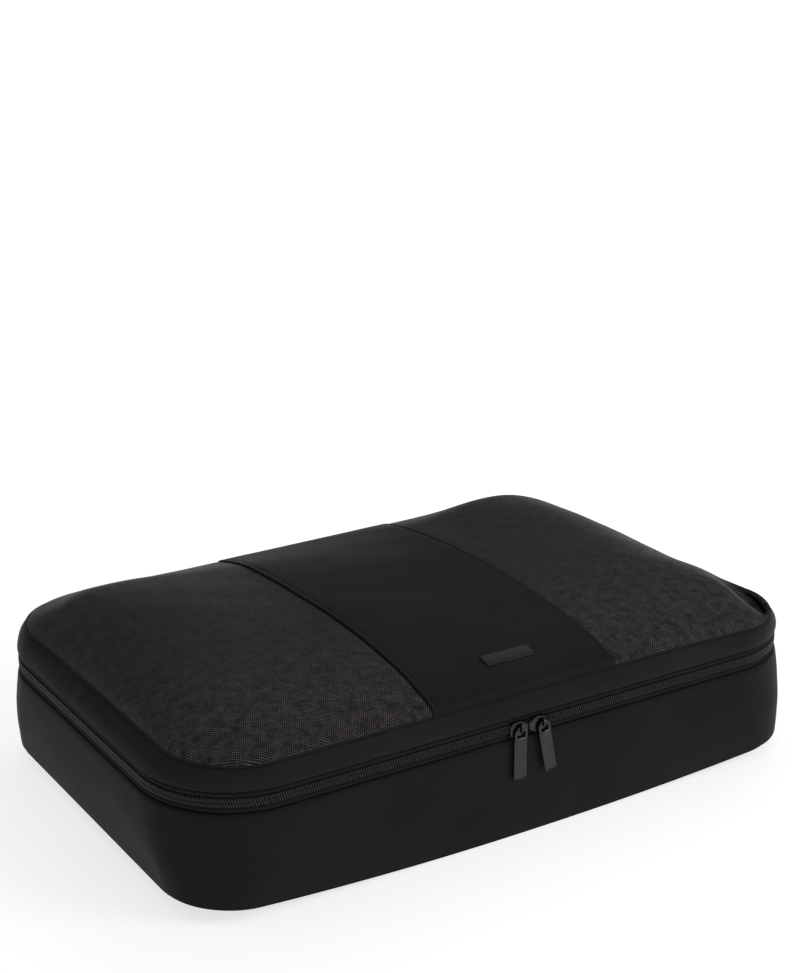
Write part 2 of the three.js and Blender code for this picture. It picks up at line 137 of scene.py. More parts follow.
def length(name, default_mm, description):
    """A length property, in metres, whose default is given in millimetres."""
    return FloatProperty(
        name=name, description=description, subtype="DISTANCE", unit="LENGTH",
        default=default_mm * MM, min=0)


class PackingCubeSizes(bpy.types.PropertyGroup):
    """Shape of the soft parts and the zip."""
    cloth: length("Cloth", 0.9, "Thickness of the wall and the lid")
    wall_bulge: length("Wall bulge", 1.8, "How far the wall swells between its seams")
    wave: length("Wave", 0.7, "Height of the slow waves in the cloth")
    seam_roll: length("Seam roll", 2.8, "How high the lid turns up from its seam")
    left_pillow: length("Left pillow", 8.6, "Extra rise of the lid under the left window")
    right_pillow: length("Right pillow", 10.6, "Extra rise of the lid under the right window")
    left_lift: length("Left lift", 10.0, "How far the bottom curls up at the left end")
    right_lift: length("Right lift", 8.3, "How far the bottom curls up at the right end")
    coil_pitch: length("Coil pitch", 1.5, "Distance from one turn of the zip's coil to the next")
    stitch: length("Stitch", 2.4, "Length of one stitch")
    stitch_gap: length("Stitch gap", 1.1, "Space between two stitches")


class PackingCubeColours(bpy.types.PropertyGroup):
    """Colours of the cloth and the hardware."""
    nylon: colour("Nylon", "#211e21", "Smooth cloth of the wall")
    # The lid's nylon is the wall's cloth painted a shade lighter: painted light for the brighter
    # light that falls on the lid and its gusset.
    lid_nylon: colour("Lid nylon", "#242124", "Smooth cloth of the lid")
    mesh_thread: colour("Mesh thread", "#454146", "Threads of the mesh windows")
    mesh_hole: colour("Mesh hole", "#151315", "Holes of the mesh windows")
    webbing: colour("Webbing", "#151215", "Binding tapes and end tabs")
    tape: colour("Zip tape", "#231f23", "Woven tape of the zip")
    coil: colour("Zip coil", "#2f2b2f", "Nylon coil of the zip")
    metal: colour("Gunmetal", "#3c3a38", "Plating of the sliders and the pulls")
    badge: colour("Badge", "#2f2d2b", "Satin plating of the badge")
    label: colour("Label", "#b8b4ae", "Blank care label")


class PackingCubeStage(bpy.types.PropertyGroup):
    """Camera and light."""
    camera_turn: FloatProperty(
        name="Camera turn", description="Azimuth of the camera", subtype="ANGLE",
        unit="ROTATION", default=math.radians(-32))
    camera_rise: FloatProperty(
        name="Camera rise", description="Elevation of the camera", subtype="ANGLE",
        unit="ROTATION", default=math.radians(20.02))
    camera_distance: length("Camera distance", 1297.8, "From the camera to the point it aims at")
    lens: FloatProperty(
        name="Lens", description="Focal length in millimetres", default=75.9, min=1)
    key: FloatProperty(
        name="Overhead light", description="Power of the large light above, in watts",
        default=3.5, min=0)
    fill: FloatProperty(
        name="Side light", description="Power of the light at the front right, in watts",
        default=7, min=0)
    sky: FloatProperty(
        name="Sky", description="Strength of the light straight above", default=0.6, min=0)
    horizon: FloatProperty(
        name="Horizon", description="Strength of the light at the horizon", default=0.05, min=0)
    corner_steps: IntProperty(
        name="Corner steps", description="Facets in each rounded corner", default=26, min=4)


# ------------------------------------------------------------------ small helpers

def node(tree, kind, inputs=None, **settings):
    """Adds a shader node. `inputs` maps a socket's name or number to a value or to another
    node's output; `settings` are the node's own properties."""
    made = tree.nodes.new(kind)
    for key, value in settings.items():
        setattr(made, key, value)
    for key, value in (inputs or {}).items():
        if isinstance(value, bpy.types.NodeSocket):
            tree.links.new(value, made.inputs[key])
        else:
            made.inputs[key].default_value = value
    return made


def new_material(name):
    """An empty node material and its tree."""
    material = bpy.data.materials.new(name)
    material.use_nodes = True
    material.node_tree.nodes.clear()
    return material, material.node_tree


def surface(tree, inputs):
    """Ends a material: a Principled shader with these inputs, wired to the output."""
    shader = node(tree, "ShaderNodeBsdfPrincipled", inputs)
    node(tree, "ShaderNodeOutputMaterial", {"Surface": shader.outputs[0]})


def rgba(value, gain=1.0):
    """A colour property as the four numbers that a colour socket takes."""
    return (value[0] * gain, value[1] * gain, value[2] * gain, 1.0)


def grid_faces(rows, columns, wrap_rows=False, wrap_columns=False):
    """Quads of a grid of rows x columns vertices, numbered row by row. A wrapped direction
    joins its last line back to its first."""
    r = np.arange(rows if wrap_rows else rows - 1)[:, None]
    c = np.arange(columns if wrap_columns else columns - 1)[None, :]
    r2, c2 = (r + 1) % rows, (c + 1) % columns
    quads = np.stack([r * columns + c, r * columns + c2, r2 * columns + c2, r2 * columns + c], -1)
    return quads.reshape(-1, 4)


def sag(points, sizes):
    """How the soft tray stands. Its bottom rests on its middle and curls up towards both
    ends, by a lift times the 2.1th power of the distance from the middle. The lift fades to
    nothing at the top of the wall. The right end's foot also stands out by up to 0.5 mm."""
    x, y, z = points[..., 0], points[..., 1], points[..., 2]
    share = np.clip(1 - z / WALL_TOP, 0, 1.02)
    lift = np.where(x < 0, sizes.left_lift, sizes.right_lift)
    rise_here = lift * (np.abs(x) / HALF_LENGTH) ** 2.1 * share
    out = 0.5 * MM * smoothstep(x, 100 * MM, 212 * MM) * share
    return np.stack([x + out, y, z + rise_here], -1)


def settle(points, sizes):
    """How the filled lid has settled. Above the zip, its right side slumps inwards and
    down, its back left corner is pushed out, and its front right corner stands out a
    little and sinks. Each movement is an amount times a smooth window."""
    x, y, z = points[..., 0], points[..., 1], points[..., 2]
    above = smoothstep(z, ZIP_HEIGHT + 5 * MM, SEAM_HEIGHT)
    right = smoothstep(x, 140 * MM, SEAM_HALF) * smoothstep(y, -100 * MM, -20 * MM) * above
    def corner(sx, sy, reach):
        away = (x - sx * HALF_LENGTH) ** 2 + (y - sy * HALF_WIDTH) ** 2
        return np.exp(-away / (2 * reach ** 2)) * above * math.sqrt(0.5)
    back_left = 4.6 * MM * corner(-1, 1, 52 * MM)
    front_right = corner(1, -1, 40 * MM)
    return np.stack([
        x - 6.6 * MM * right - back_left + 0.6 * MM * front_right,
        y + back_left - 0.6 * MM * front_right,
        z - 6.0 * MM * right - 4.5 * MM * front_right], -1)


STANCE = {"base": sag, "lid": settle}


def make_piece(name, points, faces, body, slot, uv=None, smooth=True, material=None):
    """A mesh object from an array of points (n, 3) and an array of quads or triangles (m, k),
    which rides on a body. `uv` gives one pair of numbers, in metres, for each point. The
    material is the slot's, unless another is given."""
    if body in STANCE:
        points = STANCE[body](points, bpy.context.scene.packing_cube_sizes)
    points = np.ascontiguousarray(points.reshape(-1, 3), np.float32)
    faces = np.ascontiguousarray(faces, np.int32)
    mesh = bpy.data.meshes.new(name)
    mesh.vertices.add(len(points))
    mesh.vertices.foreach_set("co", points.ravel())
    mesh.loops.add(faces.size)
    mesh.loops.foreach_set("vertex_index", faces.ravel())
    mesh.polygons.add(len(faces))
    starts = np.arange(0, faces.size, faces.shape[1], dtype=np.int32)
    mesh.polygons.foreach_set("loop_start", starts)
    if uv is not None:
        layer = mesh.uv_layers.new(name="UVMap")
        layer.data.foreach_set("uv", uv.reshape(-1, 2)[faces.ravel()].astype(np.float32).ravel())
    mesh.update(calc_edges=True)
    mesh.validate()
    mesh.polygons.foreach_set("use_smooth", np.full(len(mesh.polygons), smooth))
    mesh.materials.append(material or finish_for(slot))
    piece = bpy.data.objects.new(name, mesh)
    bpy.context.scene.collection.objects.link(piece)
    if body:
        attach(piece, body)
    return piece


def thicken(piece, thickness, offset=-1.0):
    """Gives an open sheet its thickness. An offset of -1 grows it away from its faces."""
    solid = piece.modifiers.new("cloth", "SOLIDIFY")
    solid.thickness = thickness
    solid.offset = offset
    solid.use_even_offset = False
    return piece


def smoothstep(x, low, high):
    """0 below low, 1 above high, and an S between."""
    t = np.clip((x - low) / (high - low), 0, 1)
    return t * t * (3 - 2 * t)


def rounded(t):
    """A quarter circle: it rises from 0 at t = 0 to 1 at t = 1, and stays there."""
    return np.sqrt(1 - np.clip(1 - t, 0, 1) ** 2)


def unit(vectors):
    """Vectors (n, 3) brought to length 1."""
    return vectors / np.linalg.norm(vectors, axis=1, keepdims=True)


def waves(u, v, size, seed, count=9):
    """A slow random relief, about -1 to 1: the mean of some cosines that run in random
    directions, each `size` to twice `size` long."""
    rng = np.random.default_rng(seed)
    total = np.zeros(np.broadcast(u, v).shape)
    for angle, stretch, phase in zip(
            rng.uniform(0, 2 * math.pi, count), rng.uniform(1, 2, count),
            rng.uniform(0, 2 * math.pi, count)):
        k = 2 * math.pi / (size * stretch)
        total += np.cos(k * (u * math.cos(angle) + v * math.sin(angle)) + phase)
    return total / count * 1.6


def carry(path, side, up, profile):
    """A closed profile (k, 2) carried along a path (n, 3). `side` and `up` are the directions
    (n, 3) that the profile's two numbers are measured along. Returns points (n, k, 3)."""
    return (path[:, None, :] + profile[None, :, :1] * side[:, None, :]
            + profile[None, :, 1:] * up[:, None, :])


def capped_tube(points):
    """Points (n, k, 3) of an open tube with its two ends drawn in to a middle point, and its
    faces. Each end is one more ring of k equal points."""
    first = np.repeat(points[:1].mean(1, keepdims=True), points.shape[1], 1)
    last = np.repeat(points[-1:].mean(1, keepdims=True), points.shape[1], 1)
    points = np.concatenate([first, points, last])
    return points, grid_faces(len(points), points.shape[1], wrap_columns=True)


def merge(piece, distance=0.002 * MM):
    """Merges a piece's doubled points, such as the ones in the middle of a cap."""
    work = bmesh.new()
    work.from_mesh(piece.data)
    bmesh.ops.remove_doubles(work, verts=work.verts, dist=distance)
    bmesh.ops.dissolve_degenerate(work, edges=work.edges, dist=distance / 10)
    bmesh.ops.recalc_face_normals(work, faces=work.faces)
    work.to_mesh(piece.data)
    work.free()
    return piece


# ------------------------------------------------------------------ the case's outline

# Corners in the order that the outline is walked, seen from above anticlockwise: the sign of
# X, the sign of Y, and the angle at which the quarter turn starts.
CORNERS = ((-1, 1, 90), (-1, -1, 180), (1, -1, 270), (1, 1, 360))


def stations(closed, turns, step=3 * MM):
    """Places along the outline. Each place lies between the centres of two corners, at the
    share f, and looks outwards along (ux, uy). The open outline is the zip's: it starts and
    ends at the two ends of the back's straight stretch."""
    a, b, f, angle = [], [], [], []
    for k, (x, y, start) in enumerate(CORNERS):
        following = CORNERS[(k + 1) % 4]
        a += [(x, y)] * (turns + 1)
        b += [(x, y)] * (turns + 1)
        f += [0.0] * (turns + 1)
        angle += list(start + 90 * np.arange(turns + 1) / turns)
        if k < 3 or closed:
            along = 2 * (HALF_LENGTH if k % 2 else HALF_WIDTH) - 2 * CORNER_RADIUS
            inner = int(round(along / step)) - 1
            a += [(x, y)] * inner
            b += [following[:2]] * inner
            f += list((np.arange(inner) + 1) / (inner + 1))
            angle += [start + 90] * inner
    a, b = np.array(a, float), np.array(b, float)
    angle = np.radians(np.array(angle))
    return SimpleNamespace(
        ax=a[:, 0], ay=a[:, 1], bx=b[:, 0], by=b[:, 1], f=np.array(f),
        ux=np.cos(angle), uy=np.sin(angle), closed=closed, count=len(angle))


def outline(st, side, front, back, radius):
    """The outline drawn in by three insets, with a corner radius: the centres of the two
    corners, mixed by f, plus the radius along the outward direction. The insets and the
    radius are numbers, or columns with a row for each height."""
    def centre(sx, sy):
        x = sx * (HALF_LENGTH - side - radius)
        y = np.where(sy < 0, -(HALF_WIDTH - front - radius), HALF_WIDTH - back - radius)
        return x, y
    ax, ay = centre(st.ax, st.ay)
    bx, by = centre(st.bx, st.by)
    return ax + (bx - ax) * st.f + radius * st.ux, ay + (by - ay) * st.f + radius * st.uy


def rim(st, inset):
    """The zip's outline, drawn in by an inset."""
    return outline(st, inset, inset, inset, CORNER_RADIUS - inset)


def run_length(x, y):
    """Distance walked along a line of points."""
    return np.concatenate([[0], np.cumsum(np.hypot(np.diff(x), np.diff(y)))])


def ring_points(x, y, z):
    """Rows of x, y and z, which may be columns, as points (rows, stations, 3)."""
    x, y, z = np.broadcast_arrays(x, y, z)
    return np.stack([x, y, z], -1)


def outward(st):
    """The outward direction at each station, level with the floor."""
    return np.stack([st.ux, st.uy, np.zeros(st.count)], -1)


def walk(st):
    """The distance walked along the zip's outline, as one row, and a fade to nothing at the
    walk's two ends, so that the relief on a closed band starts and ends alike."""
    along = run_length(*rim(st, 0.0))[None, :]
    return along, smoothstep(np.minimum(along, along.max() - along), 0, 30 * MM)


def ring_uv(points):
    """UV in metres for a ring of cloth: the distance walked along its middle row, and the
    distance up from its first row."""
    middle = points[len(points) // 2]
    along = run_length(middle[:, 0], middle[:, 1])
    up = np.cumsum(np.linalg.norm(np.diff(points, axis=0, prepend=points[:1]), axis=-1), axis=0)
    return np.stack(np.broadcast_arrays(along[None, :], up), -1)


def skin(name, st, x, y, z, body, slot):
    """An open sheet of cloth round the case, its rows from the bottom up, facing outwards."""
    points = ring_points(x, y, z)
    if st.closed:
        # The first station is repeated at the end, so that the UV runs on without a jump back.
        points = np.concatenate([points, points[:, :1]], 1)
    piece = make_piece(
        name, points, grid_faces(*points.shape[:2]), body, slot, uv=ring_uv(points))
    return weld(piece)


def weld(piece):
    """Welds a closed sheet's first line of points to its last, which keeps the UV as it is."""
    made = piece.modifiers.new("weld", "WELD")
    made.merge_threshold = 0.01 * MM
    return piece


# ------------------------------------------------------------------ the lid's domed top

def rise(distance, reach, power):
    """How far the lid has risen at a distance in from one seam, from 0 to 1: one minus the
    cube of the share of the reach that is left, raised to a power."""
    left = 1 - np.clip(distance, 0, reach) / reach
    return (1 - left ** 3) ** power


def seam_distance(x, y):
    """Distances in from the lid's seam: along X, along Y, and to its rounded outline."""
    dx = SEAM_HALF - np.abs(x)
    dy = np.minimum(y - SEAM_FRONT, SEAM_BACK - y)
    cx, cy = np.maximum(SEAM_RADIUS - dx, 0), np.maximum(SEAM_RADIUS - dy, 0)
    d = np.where((cx > 0) & (cy > 0), SEAM_RADIUS - np.hypot(cx, cy), np.minimum(dx, dy))
    return dx, dy, np.maximum(d, 0)


def lid_height(x, y, sizes):
    """Height of the lid's outer face. It turns up from its seam over a few millimetres and
    then rises to a broad top, quickly from the two ends and slowly from the front and the
    back. Each mesh window is filled to a pillow towards the back, there is a dent inside the
    front right corner, and slow waves run over it all."""
    dx, dy, d = seam_distance(x, y)
    nearest = (np.maximum(dx, 1e-6) ** -4 + np.maximum(dy, 1e-6) ** -4) ** -0.25
    corner = np.clip(d / nearest, 0, 1)
    roll = sizes.seam_roll * (1 - np.exp(-d / (3.4 * MM)))
    across = rise(dx, 60 * MM, 0.92)
    along = np.minimum(rise(y - SEAM_FRONT, 138 * MM, 0.87), rise(SEAM_BACK - y, 189 * MM, 0.94))
    dome = (CROWN_HEIGHT - SEAM_HEIGHT - sizes.seam_roll) * across * along * corner
    inside = smoothstep(d, 0, 40 * MM)
    def pillow(amount, centre_x, centre_y, reach):
        return amount * inside * np.exp(
            -((x - centre_x) / reach) ** 2 - ((y - centre_y) / (90 * MM)) ** 2)
    pillows = (pillow(sizes.left_pillow, -148 * MM, 99 * MM, 63 * MM)
               + pillow(sizes.right_pillow, 128 * MM, 104 * MM, 46 * MM))
    dent = -12 * MM * smoothstep(d, 0, 5 * MM) * np.exp(
        -((x - 196 * MM) / (11 * MM)) ** 2 - ((y + 98 * MM) / (24 * MM)) ** 2)
    relief = sizes.wave * waves(x, y, 75 * MM, 11) * smoothstep(d, 2 * MM, 30 * MM)
    fine = 0.25 * sizes.wave * waves(x, y, 26 * MM, 12) * smoothstep(d, 1 * MM, 14 * MM)
    return SEAM_HEIGHT + roll + dome + pillows + dent + relief + fine


def lid_rows(turn_steps=22, straight_steps=64):
    """Y of the lid's rows, from the front seam to the back one, close together near both."""
    turn = SEAM_RADIUS * (1 - np.cos(np.linspace(0, math.pi / 2, turn_steps + 1)))
    middle = np.linspace(SEAM_FRONT + SEAM_RADIUS, SEAM_BACK - SEAM_RADIUS, straight_steps + 1)
    return np.concatenate([SEAM_FRONT + turn, middle[1:-1], (SEAM_BACK - turn)[::-1]])


def seam_half_at(y):
    """Half-length of the seam's outline at each row."""
    dy = np.minimum(y - SEAM_FRONT, SEAM_BACK - y)
    into = np.clip(SEAM_RADIUS - dy, 0, SEAM_RADIUS)
    return SEAM_HALF - SEAM_RADIUS + np.sqrt(np.maximum(SEAM_RADIUS ** 2 - into ** 2, 0))


# ------------------------------------------------------------------ materials

def stripe_scale(pitch):
    """A wave texture's scale for stripes of a given pitch, in metres."""
    return math.pi / 10 / pitch


def crossed(tree, vector, pitch_x, pitch_y):
    """Two sets of soft stripes at right angles, multiplied by one another."""
    x, y = (node(tree, "ShaderNodeTexWave", {"Vector": vector, "Scale": stripe_scale(pitch)},
                 bands_direction=direction).outputs[1]
            for direction, pitch in (("X", pitch_x), ("Y", pitch_y)))
    return node(tree, "ShaderNodeMath", {0: x, 1: y}, operation="MULTIPLY").outputs[0]


def shaded(tree, base, pattern, low, high, spread=(0.0, 1.0)):
    """A colour that a pattern darkens and lightens: the pattern's spread becomes a gain from
    low to high, which multiplies the colour."""
    gain = node(tree, "ShaderNodeMapRange", {
        "Value": pattern, "From Min": spread[0], "From Max": spread[1],
        "To Min": low, "To Max": high})
    return node(tree, "ShaderNodeMix", {"Factor": 1.0, 6: base, 7: gain.outputs[0]},
                data_type="RGBA", blend_type="MULTIPLY").outputs[2]


def woven(name, base, thread_mm, rough, sheen, gloss, relief=0.25, mottle=0.12):
    """A plain weave: two sets of threads cross at right angles, so the cloth has a fine
    checked relief, and its tone drifts slowly as dyed cloth does. The threads are drawn a
    little coarser than real ones, which would be too fine to show in a render."""
    material, tree = new_material(name)
    uv = node(tree, "ShaderNodeUVMap", uv_map="UVMap").outputs[0]
    weave = crossed(tree, uv, thread_mm * MM, thread_mm * MM)
    slub = node(tree, "ShaderNodeTexNoise", {"Vector": uv, "Scale": 420.0, "Detail": 3.0})
    drift = node(tree, "ShaderNodeTexNoise", {"Vector": uv, "Scale": 14.0, "Detail": 2.0})
    dyed = shaded(tree, rgba(base), drift.outputs[0], 1 - mottle, 1 + mottle, (0.3, 0.7))
    roughness = node(tree, "ShaderNodeMapRange", {
        "Value": slub.outputs[0], "To Min": rough - 0.07, "To Max": rough + 0.07})
    height = node(tree, "ShaderNodeMath", {0: slub.outputs[0], 1: 0.35, 2: weave},
                  operation="MULTIPLY_ADD")
    bump = node(tree, "ShaderNodeBump", {
        "Height": height.outputs[0], "Strength": relief, "Distance": 0.1 * MM})
    surface(tree, {
        "Base Color": shaded(tree, dyed, weave, 0.94, 1.06), "Roughness": roughness.outputs[0],
        "Normal": bump.outputs[0], "Sheen Weight": sheen, "Sheen Roughness": 0.45,
        "Specular IOR Level": gloss})
    return material


def knitted_mesh(colours):
    """Warp-knitted polyester mesh over a second layer of the same knit. Each layer is a
    lattice of threads and small holes set on the bias. The two differ slightly in pitch and
    direction, so they beat against one another in slanting patches. Towards the front the
    threads are painted lighter in patches: a painted highlight for their glints."""
    material, tree = new_material("polyester mesh, warp knitted")
    uv = node(tree, "ShaderNodeUVMap", uv_map="UVMap").outputs[0]
    stretch = node(tree, "ShaderNodeTexNoise", {"Vector": uv, "Scale": 45.0, "Detail": 2.0})
    pulled = node(tree, "ShaderNodeVectorMath", {
        0: stretch.outputs["Color"], 1: (3 * MM, 3 * MM, 0), 2: uv}, operation="MULTIPLY_ADD")
    def lattice(turn, pitch_mm):
        bias = node(tree, "ShaderNodeMapping", {
            "Vector": pulled.outputs[0], "Rotation": (0, 0, math.radians(turn))})
        return crossed(tree, bias.outputs[0], pitch_mm * MM, 1.2 * pitch_mm * MM)
    upper = lattice(28, 1.0)
    lower = lattice(33, 1.09)
    both = node(tree, "ShaderNodeMath", {0: upper, 1: lower}, operation="ADD")
    crisp = node(tree, "ShaderNodeMapRange", {
        "Value": both.outputs[0], "From Min": 0.25, "From Max": 1.25})
    # Painted highlight: towards the front the threads are painted crisper and lighter, for the
    # glints that the light raises where the lid slopes to the front.
    along = node(tree, "ShaderNodeSeparateXYZ", {0: uv}).outputs["Y"]
    front_glint = node(tree, "ShaderNodeMapRange", {
        "Value": along, "From Min": -112 * MM, "From Max": -28 * MM, "To Min": 1.0, "To Max": 0.3})
    thread = node(tree, "ShaderNodeMix", {
        0: front_glint.outputs[0], 2: 0.42, 3: crisp.outputs[0]}, data_type="FLOAT")
    # Painted glints: patches in which the thread colour is lightened up to 2.8 times, mostly
    # towards the front.
    glint_noise = node(tree, "ShaderNodeTexNoise", {
        "Vector": uv, "Scale": 150.0, "Detail": 4.0, "Roughness": 0.8})
    soft = node(tree, "ShaderNodeMapRange", {
        "Value": glint_noise.outputs[0], "From Min": 0.35, "From Max": 0.65,
        "To Min": 0.6, "To Max": 2.8})
    glint_gain = node(tree, "ShaderNodeMix", {
        0: front_glint.outputs[0], 2: 0.85, 3: soft.outputs[0]}, data_type="FLOAT")
    bright = node(tree, "ShaderNodeMix", {
        "Factor": 1.0, 6: rgba(colours.mesh_thread), 7: glint_gain.outputs[0]},
        data_type="RGBA", blend_type="MULTIPLY")
    knit = node(tree, "ShaderNodeMix", {
        "Factor": thread.outputs[0], 6: rgba(colours.mesh_hole), 7: bright.outputs[2]},
        data_type="RGBA")
    bump = node(tree, "ShaderNodeBump", {
        "Height": upper, "Strength": 0.5, "Distance": 0.25 * MM})
    surface(tree, {
        "Base Color": knit.outputs[2], "Normal": bump.outputs[0], "Roughness": 0.45,
        "Specular IOR Level": 0.03})
    return material


def ribbed_webbing(name, base, rib_mm, rough):
    """Grosgrain tape: fine ribs run across its length."""
    material, tree = new_material(name)
    uv = node(tree, "ShaderNodeUVMap", uv_map="UVMap").outputs[0]
    ribs = node(tree, "ShaderNodeTexWave", {"Vector": uv, "Scale": stripe_scale(rib_mm * MM)},
                bands_direction="X").outputs[1]
    fuzz = node(tree, "ShaderNodeTexNoise", {"Vector": uv, "Scale": 900.0, "Detail": 2.0})
    height = node(tree, "ShaderNodeMath", {0: fuzz.outputs[0], 1: 0.3, 2: ribs},
                  operation="MULTIPLY_ADD")
    bump = node(tree, "ShaderNodeBump", {
        "Height": height.outputs[0], "Strength": 0.5, "Distance": 0.2 * MM})
    surface(tree, {
        "Base Color": shaded(tree, rgba(base), ribs, 0.65, 1.2), "Normal": bump.outputs[0],
        "Roughness": rough, "Specular IOR Level": 0.02})
    return material


def extruded_nylon(colours):
    """Extruded nylon filament: smooth and half glossy, with slight streaks."""
    material, tree = new_material("nylon filament, extruded")
    place = node(tree, "ShaderNodeTexCoord").outputs["Object"]
    streak = node(tree, "ShaderNodeTexNoise", {"Vector": place, "Scale": 900.0, "Detail": 2.0})
    rough = node(tree, "ShaderNodeMapRange", {
        "Value": streak.outputs[0], "To Min": 0.36, "To Max": 0.5})
    surface(tree, {
        "Base Color": shaded(tree, rgba(colours.coil), streak.outputs[0], 0.8, 1.25),
        "Roughness": rough.outputs[0], "Specular IOR Level": 0.15})
    return material


def polyester_thread(colours):
    """Twisted polyester sewing thread: matt, a shade lighter than the cloth it holds."""
    material, tree = new_material("polyester thread, twisted")
    place = node(tree, "ShaderNodeTexCoord").outputs["Object"]
    ply = node(tree, "ShaderNodeTexNoise", {"Vector": place, "Scale": 2500.0, "Detail": 2.0})
    surface(tree, {
        "Base Color": shaded(tree, rgba(colours.lid_nylon, 1.1), ply.outputs[0], 0.7, 1.5),
        "Roughness": 0.6, "Specular IOR Level": 0.02})
    return material


def plated_zinc(name, base, gloss):
    """Die-cast zinc with a gunmetal plating, barrelled smooth: a dark warm metal whose
    reflections are soft, with a slight ripple and finer handling marks. The roughness runs
    from `gloss` to 0.18 more."""
    material, tree = new_material(name)
    place = node(tree, "ShaderNodeTexCoord").outputs["Object"]
    cloud = node(tree, "ShaderNodeTexNoise", {"Vector": place, "Scale": 260.0, "Detail": 3.0})
    marks = node(tree, "ShaderNodeTexNoise", {"Vector": place, "Scale": 1500.0, "Detail": 2.0})
    rough = node(tree, "ShaderNodeMapRange", {
        "Value": cloud.outputs[0], "To Min": gloss, "To Max": gloss + 0.18})
    bump = node(tree, "ShaderNodeBump", {
        "Height": marks.outputs[0], "Strength": 0.12, "Distance": 0.05 * MM})
    surface(tree, {
        "Base Color": shaded(tree, rgba(base), cloud.outputs[0], 0.8, 1.2),
        "Roughness": rough.outputs[0], "Normal": bump.outputs[0], "Metallic": 1.0})
    return material


def woven_satin(colours):
    """Woven satin ribbon: long floats along one direction give it a soft streaky shine."""
    material, tree = new_material("polyester satin, woven")
    place = node(tree, "ShaderNodeTexCoord").outputs["Object"]
    long_floats = node(tree, "ShaderNodeMapping", {"Vector": place, "Scale": (0.15, 1, 1)})
    threads = node(tree, "ShaderNodeTexNoise", {
        "Vector": long_floats.outputs[0], "Scale": 3000.0, "Detail": 2.0})
    surface(tree, {
        "Base Color": shaded(tree, rgba(colours.label), threads.outputs[0], 0.88, 1.05),
        "Roughness": 0.45})
    return material


def studio_paper():
    """Matt white background paper: no gloss, with the faintest mottle. It also glows: a painted
    light, weaker near the middle and stronger away from it, which keeps the far paper white."""
    material, tree = new_material("paper, matt coated")
    place = node(tree, "ShaderNodeTexCoord").outputs["Object"]
    grain = node(tree, "ShaderNodeTexNoise", {"Vector": place, "Scale": 3.0})
    tone = node(tree, "ShaderNodeMapRange", {
        "Value": grain.outputs[0], "To Min": 0.49, "To Max": 0.51})
    away = node(tree, "ShaderNodeVectorMath", {0: place}, operation="LENGTH")
    # Painted light: the paper's glow grows with the distance from the middle.
    glow = node(tree, "ShaderNodeMapRange", {
        "Value": away.outputs["Value"], "From Min": 0.25, "From Max": 0.8,
        "To Min": 0.72, "To Max": 1.05}, interpolation_type="SMOOTHSTEP")
    surface(tree, {
        "Base Color": tone.outputs[0], "Emission Strength": glow.outputs[0],
        "Emission Color": (1, 1, 1, 1), "Roughness": 0.9, "Specular IOR Level": 0.1})
    return material


MATERIALS = {}


def finish_for(slot):
    """The material of one of the record's slots, made once."""
    if not MATERIALS:
        colours = bpy.context.scene.packing_cube_colours
        MATERIALS.update({
            "wall_nylon": woven("nylon, plain woven", colours.nylon, 0.35, 0.5, 0.01, 0.02),
            # The lid's cloth is a lighter copy of the wall's: painted light.
            "lid_nylon": woven(
                "nylon, plain woven, lid", colours.lid_nylon, 0.35, 0.44, 0.004, 0.02),
            "lid_mesh": knitted_mesh(colours),
            "binding_webbing": ribbed_webbing(
                "polyester grosgrain, woven", colours.webbing, 0.8, 0.7),
            "zip_tape": ribbed_webbing(
                "polyester zip tape, woven", colours.tape, 0.7, 0.6),
            "zip_coil": extruded_nylon(colours),
            "label_satin": woven_satin(colours),
            "slider_gunmetal": plated_zinc(
                "zinc, die cast and gunmetal plated", colours.metal, 0.2),
            "badge_metal": plated_zinc(
                "zinc, stamped and gunmetal plated, satin", colours.badge, 0.4),
            "thread": polyester_thread(colours),
        })
    return MATERIALS[slot]


# ------------------------------------------------------------------ the tray

def tray_floor(st, sizes):
    """The bottom panel: a flat rounded sheet whose edge turns up into the seam. Its rows run
    from the middle of the floor out to the edge. Each is the foot's outline drawn in, the
    first of them so far that it closes on the middle line, and the last few follow a small
    quarter round up to the seam."""
    lift = FOOT_TURN - 0.1 * MM
    flat = np.array([1.0, 0.9, 0.75, 0.55, 0.35, 0.2, 0.1, 0.05])
    turn = np.linspace(0, math.pi / 2, 7)
    reach = HALF_WIDTH - FOOT_INSET
    inset = np.concatenate([flat * reach, 1.8 * MM * (1 - np.sin(turn))]) + FOOT_INSET
    z = np.concatenate([np.zeros(len(flat)), lift * (1 - np.cos(turn))]) + 0.02 * MM
    radius = np.maximum(FOOT_RADIUS - (inset - FOOT_INSET), 0)
    x, y = outline(st, inset[:, None], inset[:, None], inset[:, None], radius[:, None])
    piece = skin("floor", st, x, y, z[:, None], "base", "wall_nylon")
    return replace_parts(thicken(piece, sizes.cloth), "bottom_panel")


def wall_profile(v):
    """Inset and height of the wall's outer face, for v from 0 at its foot to 1 at its top.
    It leans out from the foot to the zip, and both its edges roll in to a seam: the lower
    one over 0.9 mm, and the upper one over 2.4 mm, in quarter rounds."""
    foot, top = FOOT_TURN, WALL_TOP
    z = foot + (top - foot) * v
    inset = FOOT_INSET * (1 - v) ** 1.3
    low, high = 0.9 * MM, 2.4 * MM
    inset = inset + low * (1 - rounded((z - foot) / low))
    inset = inset + high * (1 - rounded((top - z) / high))
    return inset, z


